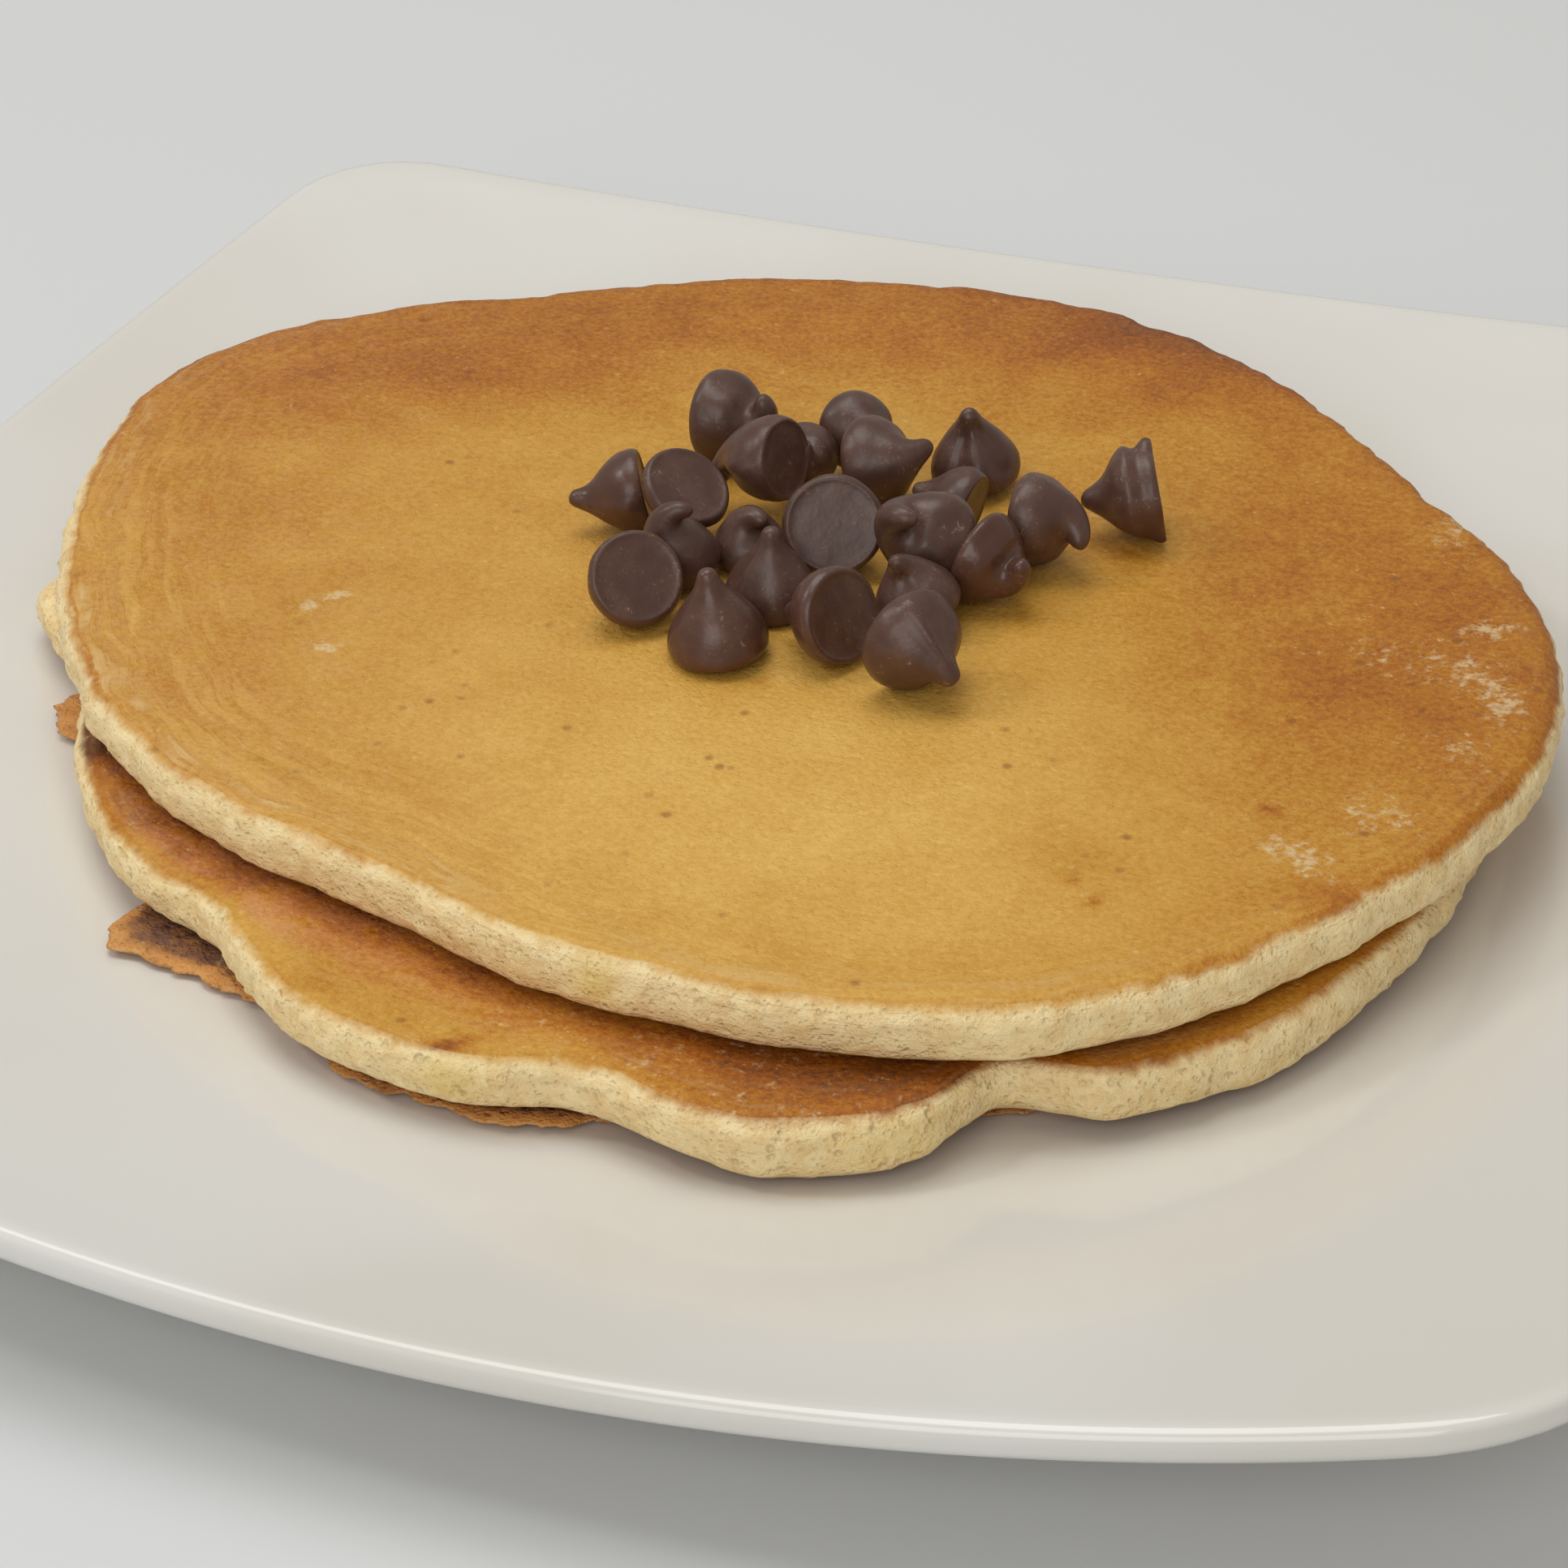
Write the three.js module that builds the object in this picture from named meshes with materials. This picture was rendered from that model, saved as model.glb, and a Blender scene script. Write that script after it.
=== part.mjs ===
// A stack of pancakes with a heap of chocolate chips, served on one square plate.
// Millimetres, Z up. The plate's sides run along X and Y and its foot stands on z = 0.
import * as THREE from 'three';

// ---------------------------------------------------------------- plate
const PLATE_HALF_SIDE = 126.4;
const PLATE_SIDE_BOW = 11; // how far each side bulges out at its middle
const PLATE_CORNER_RADIUS = 23.5;
const PLATE_SEGMENTS = 72;
const CORNER_CROWDING = 0.55; // facets are this much narrower at the corners than on average
const WELL_FLOOR_Z = 7.1;
const WELL_FLAT_RADIUS = 40; // the well is flat up to here, then rises ever more steeply
const WELL_RISE = 0.00156;
const WALL_THICKNESS = 4.5;
const SQUARE_FROM_RADIUS = 62; // round inside this radius, square at the rim
const FOOT_OUTER_RADIUS = 64;
const FOOT_WIDTH = 6;
const FOOT_DRAFT = 1; // each flank of the foot ring leans in this much
const UNDERSIDE_ROW = 96; // radius of a row of points that lets the underside follow the well
const WELL_ROWS = [101, 87, 72, 57]; // the same for the eating surface, from the rim inwards
// The rounded lip, from underneath to the top: [inwards from the rim, share of the wall below].
const LIP_SECTION = [[2.6, 1], [0.2, 0.68], [0.2, 0.34], [1.8, 0.04], [11, 0]];

// ---------------------------------------------------------------- pancakes
const SEAT_GAP = 0.3; // between pieces that lie on each other
const FOOD_TURN = THREE.MathUtils.degToRad(20.2); // the food's own axes, turned on the plate
const PANCAKE_SEGMENTS = 72;
const LACE_THICKNESS = 1.5; // the lowest pancake is a thin, crisp, ragged one
const LACE_SEGMENTS = 72;
const LACE_LOOK = THREE.MathUtils.degToRad(4.5); // the middle pancake bridges notches this narrow
const LACE_CLEAR = 3.5; // it stays up this far past the lace
const LACE_STEP_DOWN = 7; // and comes down onto the plate over this distance
const MIDDLE_THICKNESS = 8.8;
const MIDDLE_THINNING = 1.9; // thinner towards the edge by this much
const TOP_SEAT_GAP = 0.5;
const TOP_THICKNESS = 8.4;
const TOP_THINNING = 0.9;
const SAG_RADIUS = 84; // beyond this radius the pancakes no longer follow the well
const MEASURE_RADIUS = 85; // where the full thinning is reached

// Outlines: an ellipse about (u, v) and lobes {at: degrees, grow: mm, spread: degrees}.
const TOP_OUTLINE = {
  u: -2,
  v: 12.5,
  long: 97,
  short: 81.4,
  shortAt: 49.5,
  lobes: [
    { at: 57, grow: 4.5, spread: 13 },
    { at: 142, grow: 4.5, spread: 9 },
    { at: 109, grow: -5.5, spread: 12 },
    { at: -76, grow: 4, spread: 12 },
    { at: -126, grow: -4, spread: 11 },
    { at: -45, grow: -2, spread: 13 },
    { at: 13, grow: -3.2, spread: 10 },
    { at: 176, grow: -1.4, spread: 14 },
  ],
};
const MIDDLE_OUTLINE = {
  u: 0,
  v: -2,
  long: 83.4,
  short: 83.4,
  shortAt: 0,
  lobes: [
    { at: 163, grow: 15, spread: 6 },
    { at: -176, grow: 2.4, spread: 12 },
    { at: -145, grow: -4.2, spread: 6 },
    { at: -108, grow: -4.8, spread: 4.5 },
    { at: -91, grow: 2.4, spread: 7 },
    { at: -75, grow: -6, spread: 3.4 },
    { at: -58, grow: 1.4, spread: 9 },
    { at: -19, grow: -1.6, spread: 9 },
    { at: 40, grow: -3, spread: 12 },
    { at: 85, grow: 2, spread: 14 },
    { at: 125, grow: -2.5, spread: 10 },
  ],
};
const LACE_OUTLINE = {
  u: 0,
  v: 0,
  long: 76,
  short: 76,
  shortAt: 0,
  lobes: [
    { at: 176, grow: 15.5, spread: 5.5 },
    { at: -151, grow: 12.5, spread: 3.6 },
    { at: -143, grow: 5.5, spread: 3.5 },
    { at: -127, grow: 7, spread: 7 },
    { at: -113, grow: 5.5, spread: 6 },
    { at: -72, grow: 2, spread: 4 },
    { at: -90, grow: -5, spread: 6 },
    { at: -30, grow: 3, spread: 9 },
    { at: 20, grow: 4, spread: 8 },
    { at: 62, grow: -4, spread: 8 },
    { at: 100, grow: 5, spread: 9 },
    { at: 140, grow: -3, spread: 8 },
  ],
};

// Half sections from the underside's middle to the top's middle: [share of radius, share of thickness].
const PANCAKE_SECTION = [
  [0, 0], [0.45, 0], [0.7, 0], [0.925, 0.01], [0.986, 0.13], [1, 0.46],
  [0.99, 0.78], [0.955, 0.96], [0.86, 1], [0.64, 1], [0.4, 1], [0, 1],
];
const LACE_SECTION = [
  [0, 0], [0.53, 0], [0.76, 0], [0.98, 0.1], [1, 0.5], [0.98, 1], [0.76, 1], [0.53, 1], [0, 1],
];

// ---------------------------------------------------------------- chocolate chips
const CHIP_SEGMENTS = 14;
const CHIP_RADIUS = 5.6;
const CHIP_HEIGHT = 9.6;
const CHIP_CENTRE = 0.36; // share of the height where a chip's own centre lies
// Half section of a chip from the middle of its flat base to its tip, as shares.
const CHIP_SECTION = [
  [0, 0], [0.9, 0.01], [1, 0.14], [0.95, 0.34], [0.75, 0.54], [0.46, 0.72], [0.22, 0.88], [0, 1],
];
const DROP_HEIGHT = 80; // chips are let down onto the stack from here

// Where each chip lies: u, v in mm; heading is where its tip points, lean how far the tip
// has fallen over (0 upright, 90 lying, 180 tip down); curl bends the tip sideways by so many
// mm towards curlAt; size and tall scale its width and height. Lower chips come first.
const CHIPS = [
  { name: 'chip_01', u: -10, v: -7.5, heading: 180, lean: 8, size: 1.02, tall: 1.08 },
  { name: 'chip_02', u: -3.5, v: 3, heading: -90, lean: 4, size: 0.97, tall: 1.06 },
  { name: 'chip_03', u: 2.5, v: -7.5, heading: 134, lean: 108, size: 1.03 },
  { name: 'chip_04', u: 13.5, v: -17, heading: -57, lean: 98, size: 1.12, curl: 1.5, curlAt: 30 },
  { name: 'chip_05', u: 13, v: -1, heading: 183, lean: 22, size: 0.92, tall: 0.95, curl: 1, curlAt: 90 },
  { name: 'chip_06', u: -20, v: 2, heading: 108, lean: 126, size: 1.02 },
  { name: 'chip_07', u: -14.8, v: 9.5, heading: 200, lean: 24, size: 0.82, tall: 0.98, curl: 3, curlAt: 0 },
  { name: 'chip_08', u: -6, v: 14.2, heading: -80, lean: 10, size: 0.85, tall: 0.85 },
  { name: 'chip_09', u: 23, v: 4, heading: -35, lean: 104, size: 1, tall: 0.88, curl: 2, curlAt: 0 },
  { name: 'chip_10', u: 30, v: 13, heading: -25, lean: 84, size: 1.03, curl: 2, curlAt: 0 },
  { name: 'chip_11', u: 40.5, v: 21.5, heading: 180, lean: 100, size: 0.98, curl: 1, curlAt: 0 },
  { name: 'chip_12', u: 18.5, v: 20, heading: 153, lean: 80, size: 0.85, tall: 0.85 },
  { name: 'chip_13', u: 22, v: 35, heading: 190, lean: 8, size: 1, tall: 0.95, curl: 1.8, curlAt: 90 },
  { name: 'chip_14', u: 11, v: 29, heading: -28, lean: 68, size: 1.05, curl: 1, curlAt: 0 },
  { name: 'chip_15', u: 8, v: 39.5, heading: -60, lean: 68, size: 0.9, tall: 0.75 },
  { name: 'chip_16', u: -8, v: 41.5, heading: -29, lean: 84, size: 1.08, curl: 1.5, curlAt: 0 },
  { name: 'chip_17', u: -22.2, v: 24, heading: -178, lean: 102, size: 0.92, curl: 1.2, curlAt: 180 },
  { name: 'chip_21', u: 0.8, v: 33.3, heading: -90, lean: 74, size: 0.76, tall: 0.78 },
  { name: 'chip_18', u: -14.5, v: 21, heading: 135, lean: 146, size: 1.0, tall: 0.78 },
  { name: 'chip_19', u: 14.8, v: 9, heading: -160, lean: 56, size: 1.06, curl: 2.5, curlAt: 180 },
  { name: 'chip_20', u: -4.3, v: 26.6, heading: 146, lean: 104, size: 0.95, curl: 3, curlAt: 60 },
  { name: 'chip_22', u: 4, v: 14, heading: 90, lean: 120, size: 1.1 },
];

// ---------------------------------------------------------------- finishes
const GLAZE = { color: '#e9e7e2', roughness: 0.12, metalness: 0 };
const BAKED = { color: '#c8964a', roughness: 0.6, metalness: 0 };
const BAKED_MIDDLE = { color: '#bd8444', roughness: 0.65, metalness: 0 };
const CRISP = { color: '#8a5a33', roughness: 0.7, metalness: 0 };
const CHOCOLATE = { color: '#3d2a25', roughness: 0.4, metalness: 0 };

const UP = new THREE.Vector3(0, 0, 1);
const DOWN = new THREE.Vector3(0, 0, -1);

const stack = new THREE.Group();
stack.name = 'pancake_stack';
const food = new THREE.Group();
food.name = 'food';
food.rotation.z = FOOD_TURN;
stack.add(food);

function smoothStep(from, to, value) {
  return THREE.MathUtils.smoothstep(value, from, to);
}

// Turns a half section round the Z axis into one closed body.
function turned(section, segments) {
  const points = section.map(([radius, height]) => new THREE.Vector2(radius, height));
  return new THREE.LatheGeometry(points, segments).rotateX(Math.PI / 2);
}

// Moves every point of a geometry with the function given.
function reshape(geometry, move) {
  const places = geometry.getAttribute('position');
  const point = new THREE.Vector3();
  for (let i = 0; i < places.count; i += 1) {
    point.fromBufferAttribute(places, i);
    move(point);
    places.setXYZ(i, point.x, point.y, point.z);
  }
  geometry.computeVertexNormals();
  return geometry;
}

function addPiece(group, name, geometry, finish) {
  const mesh = new THREE.Mesh(geometry, new THREE.MeshStandardMaterial(finish));
  mesh.name = name;
  group.add(mesh);
  return mesh;
}

// Height of the plate's eating surface at a distance from its middle.
function plateSurface(radius) {
  const beyond = Math.max(0, radius - WELL_FLAT_RADIUS);
  return WELL_FLOOR_Z + WELL_RISE * beyond * beyond;
}

// Distance from the plate's middle to its rim: bowed sides joined by round corners.
function plateRim(angle) {
  const straight = PLATE_HALF_SIDE - PLATE_CORNER_RADIUS - PLATE_SIDE_BOW;
  const sideRadius = (straight ** 2 + PLATE_SIDE_BOW ** 2) / (2 * PLATE_SIDE_BOW);
  const sideCentre = PLATE_HALF_SIDE - PLATE_CORNER_RADIUS - sideRadius;
  const quarter = Math.PI / 2;
  const turn = Math.abs(angle - quarter * Math.round(angle / quarter));
  const reach = sideRadius + PLATE_CORNER_RADIUS;
  const onSide = sideCentre * Math.cos(turn) + Math.sqrt(reach ** 2 - (sideCentre * Math.sin(turn)) ** 2);
  const away = straight * Math.SQRT2 * Math.cos(Math.PI / 4 - turn);
  const aside = straight * Math.SQRT2 * Math.sin(Math.PI / 4 - turn);
  const onCorner = away + Math.sqrt(Math.max(0, PLATE_CORNER_RADIUS ** 2 - aside ** 2));
  const cornerFrom = Math.asin(straight / sideRadius);
  const joint = Math.atan2(reach * Math.sin(cornerFrom), sideCentre + reach * Math.cos(cornerFrom));
  return turn < joint ? onSide : onCorner;
}

function makePlate() {
  // [radius, below the eating surface]; null below stands on the table.
  const wall = WALL_THICKNESS;
  const footIn = FOOT_OUTER_RADIUS - FOOT_WIDTH;
  const section = [
    [0, wall],
    [footIn, wall],
    [footIn + FOOT_DRAFT, null],
    [FOOT_OUTER_RADIUS - FOOT_DRAFT, null],
    [FOOT_OUTER_RADIUS, wall],
    [UNDERSIDE_ROW, wall],
    ...LIP_SECTION.map(([inwards, share]) => [PLATE_HALF_SIDE - inwards, wall * share]),
    ...WELL_ROWS.map((radius) => [radius, 0]),
    [WELL_FLAT_RADIUS, 0],
    [0, 0],
  ];
  const flat = section.map(([radius], row) => [radius, row]);
  const geometry = reshape(turned(flat, PLATE_SEGMENTS), (point) => {
    const row = Math.round(point.z);
    const radius = Math.hypot(point.x, point.y);
    const squareness = smoothStep(SQUARE_FROM_RADIUS, PLATE_HALF_SIDE, radius);
    const even = Math.atan2(point.y, point.x);
    const angle = even + (CORNER_CROWDING / 4) * Math.sin(4 * even);
    const reach = radius * (1 + squareness * (plateRim(angle) / PLATE_HALF_SIDE - 1));
    const below = section[row][1];
    const height = below === null ? 0 : plateSurface(reach) - below;
    point.set(reach * Math.cos(angle), reach * Math.sin(angle), height);
  });
  return addPiece(stack, 'plate', geometry, GLAZE);
}

// Radius of an outline at an angle about its own middle, both in the food's axes.
function outlineRadius(outline, angle) {
  const turn = angle - THREE.MathUtils.degToRad(outline.shortAt);
  const along = outline.long * Math.cos(turn);
  const across = outline.short * Math.sin(turn);
  let radius = (outline.long * outline.short) / Math.hypot(along, across);
  for (const lobe of outline.lobes) {
    const apart = THREE.MathUtils.radToDeg(angle) - lobe.at;
    const nearest = apart - 360 * Math.round(apart / 360);
    radius += lobe.grow * Math.exp(-0.5 * (nearest / lobe.spread) ** 2);
  }
  return radius;
}

function laceTop(radius) {
  return plateSurface(radius) + SEAT_GAP + LACE_THICKNESS;
}

function laceUnder(u, v) {
  return plateSurface(Math.hypot(u, v)) + SEAT_GAP;
}

function laceThickness() {
  return LACE_THICKNESS;
}

// Underside of the middle pancake: on the lace where there is some, else down on the plate.
function middleUnder(u, v) {
  const radius = Math.hypot(u, v);
  const angle = Math.atan2(v, u);
  const nearby = [-2, -1, 0, 1, 2].map((step) => outlineRadius(LACE_OUTLINE, angle + step * LACE_LOOK));
  const lace = Math.max(...nearby);
  const bare = smoothStep(lace + LACE_CLEAR, lace + LACE_CLEAR + LACE_STEP_DOWN, radius);
  return laceTop(radius) + SEAT_GAP - bare * LACE_THICKNESS;
}

// The level the middle pancake's top lies at: dished like the well, then carrying on flat.
function stackLevel(u, v) {
  const radius = Math.min(Math.hypot(u, v), SAG_RADIUS);
  const thickness = MIDDLE_THICKNESS - MIDDLE_THINNING * (radius / MEASURE_RADIUS) ** 2;
  return laceTop(radius) + SEAT_GAP + thickness;
}

function middleThickness(u, v) {
  return stackLevel(u, v) - middleUnder(u, v);
}

function topUnder(u, v) {
  return stackLevel(u, v) + TOP_SEAT_GAP;
}

function topThickness(u, v) {
  return TOP_THICKNESS - TOP_THINNING * (Math.hypot(u, v) / MEASURE_RADIUS) ** 2;
}

function makeLayer(name, outline, section, segments, under, thickness, finish) {
  const geometry = reshape(turned(section, segments), (point) => {
    const share = Math.hypot(point.x, point.y);
    const angle = Math.atan2(point.y, point.x);
    const radius = share * outlineRadius(outline, angle);
    const u = outline.u + radius * Math.cos(angle);
    const v = outline.v + radius * Math.sin(angle);
    point.set(u, v, under(u, v) + point.z * thickness(u, v));
  });
  return addPiece(food, name, geometry, finish);
}

function chipGeometry(chip) {
  const height = CHIP_HEIGHT * (chip.tall ?? 1);
  const curlAt = THREE.MathUtils.degToRad(chip.curlAt ?? 0);
  return reshape(turned(CHIP_SECTION, CHIP_SEGMENTS), (point) => {
    const bend = (chip.curl ?? 0) * point.z ** 3;
    point.x = point.x * CHIP_RADIUS * chip.size + bend * Math.cos(curlAt);
    point.y = point.y * CHIP_RADIUS * chip.size + bend * Math.sin(curlAt);
    point.z = (point.z - CHIP_CENTRE) * height;
  });
}

// Smallest upright distance from the points of one mesh to the faces of another.
function uprightDistance(mesh, direction, target) {
  const ray = new THREE.Raycaster();
  const places = mesh.geometry.getAttribute('position');
  const start = new THREE.Vector3();
  let smallest = Infinity;
  for (let i = 0; i < places.count; i += 1) {
    start.fromBufferAttribute(places, i).applyMatrix4(mesh.matrixWorld);
    ray.set(start, direction);
    const hits = ray.intersectObject(target, false);
    smallest = Math.min(smallest, hits.length ? hits[0].distance : Infinity);
  }
  return smallest;
}

// Lets a chip down until it rests a seat gap above the first thing it would touch.
function layChip(chip, carriers) {
  const mesh = addPiece(food, chip.name, chipGeometry(chip), CHOCOLATE);
  const lean = THREE.MathUtils.degToRad(chip.lean);
  const heading = THREE.MathUtils.degToRad(chip.heading);
  mesh.rotation.set(0, lean, heading, 'ZYX');
  mesh.position.set(chip.u, chip.v, DROP_HEIGHT);
  mesh.updateWorldMatrix(true, false);
  let fall = Infinity;
  for (const carrier of carriers) {
    fall = Math.min(fall, uprightDistance(mesh, DOWN, carrier), uprightDistance(carrier, UP, mesh));
  }
  mesh.position.z += SEAT_GAP - fall;
  mesh.updateWorldMatrix(true, false);
  return mesh;
}

makePlate();
makeLayer('pancake_bottom', LACE_OUTLINE, LACE_SECTION, LACE_SEGMENTS, laceUnder, laceThickness, CRISP);
makeLayer('pancake_middle', MIDDLE_OUTLINE, PANCAKE_SECTION, PANCAKE_SEGMENTS, middleUnder,
  middleThickness, BAKED_MIDDLE);
const topPancake = makeLayer('pancake_top', TOP_OUTLINE, PANCAKE_SECTION, PANCAKE_SEGMENTS, topUnder,
  topThickness, BAKED);
topPancake.updateWorldMatrix(true, false);
const carriers = [topPancake];
for (const chip of CHIPS) {
  carriers.push(layChip(chip, carriers));
}

export default stack;
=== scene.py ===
"""Pancakes with a heap of chocolate chips on one square plate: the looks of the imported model."""

from __future__ import annotations

import logging
import math
from dataclasses import dataclass, field
from enum import Enum
from typing import Iterable, Sequence

import bmesh
import bpy
from mathutils import Matrix, Vector, noise


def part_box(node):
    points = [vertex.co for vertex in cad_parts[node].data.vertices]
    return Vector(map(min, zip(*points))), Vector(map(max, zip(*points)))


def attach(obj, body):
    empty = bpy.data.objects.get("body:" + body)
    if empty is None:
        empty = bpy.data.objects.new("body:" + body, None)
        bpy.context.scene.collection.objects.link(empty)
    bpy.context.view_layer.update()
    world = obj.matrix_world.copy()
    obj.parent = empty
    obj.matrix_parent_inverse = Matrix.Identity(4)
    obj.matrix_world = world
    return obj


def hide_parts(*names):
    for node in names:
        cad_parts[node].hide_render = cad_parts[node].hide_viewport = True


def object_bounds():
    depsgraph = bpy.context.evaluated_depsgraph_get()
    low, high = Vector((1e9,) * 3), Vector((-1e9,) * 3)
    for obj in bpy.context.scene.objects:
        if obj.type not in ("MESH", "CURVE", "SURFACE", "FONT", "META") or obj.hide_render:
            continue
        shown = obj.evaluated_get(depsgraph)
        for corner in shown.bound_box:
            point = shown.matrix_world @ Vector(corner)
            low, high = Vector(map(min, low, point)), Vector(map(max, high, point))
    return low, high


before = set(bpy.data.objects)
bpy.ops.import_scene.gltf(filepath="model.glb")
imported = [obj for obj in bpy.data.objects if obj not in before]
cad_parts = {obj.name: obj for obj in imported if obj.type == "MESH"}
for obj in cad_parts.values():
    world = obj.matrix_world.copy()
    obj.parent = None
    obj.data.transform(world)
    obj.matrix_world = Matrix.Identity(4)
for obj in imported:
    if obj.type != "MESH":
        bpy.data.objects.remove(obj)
CAD_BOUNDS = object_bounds()

LOG = logging.getLogger("pancakes")
MM = 0.001
FOOD_TURN = math.radians(20.2)


# ------------------------------------------------------------------ plain sums


def smooth_step(low: float, high: float, value: float) -> float:
    """0 below low, 1 above high, and a smooth rise between; low may be the larger.

    Args:
        low: Value where the rise starts.
        high: Value where it ends.
        value: Value to look up.

    Returns:
        A share from 0 to 1.
    """
    share = min(1.0, max(0.0, (value - low) / (high - low)))
    return share * share * (3.0 - 2.0 * share)


def bell(distance: float, spread: float) -> float:
    """Height of a bell curve of top 1 at this distance from its middle."""
    return math.exp(-0.5 * (distance / spread) ** 2)


def angle_apart(angle: float, other: float) -> float:
    """Signed difference of two angles in degrees, between -180 and 180."""
    return (angle - other + 180.0) % 360.0 - 180.0


def grain(place: Vector, size: float, seed: float = 0.0) -> float:
    """Smooth noise from about -1 to 1.

    Args:
        place: Where, in mm.
        size: How large its lumps are, in mm.
        seed: Picks another pattern.

    Returns:
        The noise there.
    """
    return noise.noise(place / size + Vector((seed * 7.31, seed * 3.17, seed * 5.73)))


def linear(red: int, green: int, blue: int) -> tuple[float, float, float, float]:
    """A colour as light values, from its screen values of 0 to 255.

    Args:
        red: Red, 0 to 255.
        green: Green, 0 to 255.
        blue: Blue, 0 to 255.

    Returns:
        The colour, opaque.
    """

    def channel(value: int) -> float:
        """One channel as a light value."""
        share = value / 255.0
        return share / 12.92 if share <= 0.04045 else ((share + 0.055) / 1.055) ** 2.4

    return (channel(red), channel(green), channel(blue), 1.0)


# ------------------------------------------------------------------ shader wiring


class Effect(Enum):
    """Effects that several materials share, each one shader group."""

    PORES = "fine pores"
    BAKED = "baked skin"
    STREAKS = "streaks along the edge"


class Wiring:
    """Adds and links the nodes of one node tree."""

    def __init__(self, tree: bpy.types.NodeTree) -> None:
        """Keeps the tree to work on."""
        self.tree = tree

    def add(self, kind: str, **settings: object) -> bpy.types.Node:
        """Adds a node.

        Args:
            kind: The node's type name.
            settings: Properties to set on it.

        Returns:
            The node.
        """
        node = self.tree.nodes.new(kind)
        for name, value in settings.items():
            setattr(node, name, value)
        return node

    def feed(self, socket: bpy.types.NodeSocket, value: object) -> None:
        """Links a socket into another, or sets it to a plain value.

        Args:
            socket: What is fed.
            value: Socket, plain value, or None to leave it.
        """
        if isinstance(value, bpy.types.NodeSocket):
            self.tree.links.new(value, socket)
        elif value is not None:
            socket.default_value = value

    def math(self, operation: str, *values: object, clamp: bool = False) -> bpy.types.NodeSocket:
        """A sum of one to three values.

        Args:
            operation: The Math node's operation.
            values: Sockets or numbers.
            clamp: Whether the result is held between 0 and 1.

        Returns:
            The result's socket.
        """
        node = self.add("ShaderNodeMath", operation=operation, use_clamp=clamp)
        for socket, value in zip(node.inputs, values):
            self.feed(socket, value)
        return node.outputs[0]

    def rise(self, value: object, low: float, high: float, top: float = 1.0) -> bpy.types.NodeSocket:
        """A smooth rise from 0 at low to top at high.

        Args:
            value: Socket or number to look up.
            low: Where the rise starts.
            high: Where it ends.
            top: Its height.

        Returns:
            The result's socket.
        """
        node = self.add("ShaderNodeMapRange", interpolation_type="SMOOTHSTEP")
        self.feed(node.inputs["Value"], value)
        node.inputs["From Min"].default_value = low
        node.inputs["From Max"].default_value = high
        node.inputs["To Max"].default_value = top
        return node.outputs["Result"]

    def mix(self, share: object, first: object, second: object) -> bpy.types.NodeSocket:
        """Mixes two colours.

        Args:
            share: How much of the second, socket or number.
            first: Colour at share 0.
            second: Colour at share 1.

        Returns:
            The mixed colour's socket.
        """
        node = self.add("ShaderNodeMix", data_type="RGBA")
        self.feed(node.inputs[0], share)
        self.feed(node.inputs[6], first)
        self.feed(node.inputs[7], second)
        return node.outputs[2]

    def ramp(
        self, share: object, stops: Sequence[tuple[float, tuple[float, float, float, float]]]
    ) -> bpy.types.NodeSocket:
        """A colour scale.

        Args:
            share: Socket from 0 to 1.
            stops: Places and colours along it.

        Returns:
            The colour's socket.
        """
        node = self.add("ShaderNodeValToRGB")
        elements = node.color_ramp.elements
        while len(elements) < len(stops):
            elements.new(1.0)
        for element, (place, colour) in zip(elements, stops):
            element.position = place
            element.color = colour
        self.feed(node.inputs[0], share)
        return node.outputs["Color"]

    def noise(
        self, place: object, scale: float, detail: float = 2.0, rough: float = 0.5, twist: float = 0.0
    ) -> bpy.types.NodeSocket:
        """Smooth noise from 0 to 1.

        Args:
            place: Vector socket.
            scale: Lumps per metre.
            detail: Number of finer layers.
            rough: Strength of the finer layers.
            twist: How far it is distorted.

        Returns:
            The noise's socket.
        """
        node = self.add("ShaderNodeTexNoise")
        self.feed(node.inputs["Vector"], place)
        node.inputs["Scale"].default_value = scale
        node.inputs["Detail"].default_value = detail
        node.inputs["Roughness"].default_value = rough
        node.inputs["Distortion"].default_value = twist
        return node.outputs["Fac"]

    def cells(self, place: object, scale: float, jitter: float = 1.0) -> bpy.types.NodeSocket:
        """Distance to the nearest of many scattered points.

        Args:
            place: Vector socket.
            scale: Points per metre.
            jitter: How irregular they lie.

        Returns:
            The distance's socket.
        """
        node = self.add("ShaderNodeTexVoronoi")
        self.feed(node.inputs["Vector"], place)
        node.inputs["Scale"].default_value = scale
        node.inputs["Randomness"].default_value = jitter
        return node.outputs["Distance"]

    def attribute(self, name: str) -> bpy.types.NodeSocket:
        """A value that the mesh carries at each point."""
        return self.add("ShaderNodeAttribute", attribute_name=name).outputs["Fac"]

    def place(self) -> bpy.types.NodeSocket:
        """The point's place in the model."""
        return self.add("ShaderNodeTexCoord").outputs["Object"]

    def shared(self, effect: Effect, **inputs: object) -> bpy.types.Node:
        """Places a shared effect.

        Args:
            effect: Which one.
            inputs: Its inputs by name, with _ for a blank.

        Returns:
            The group's node.
        """
        node = self.add("ShaderNodeGroup", node_tree=bpy.data.node_groups[effect.value])
        for name, value in inputs.items():
            self.feed(node.inputs[name.replace("_", " ")], value)
        return node


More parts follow.
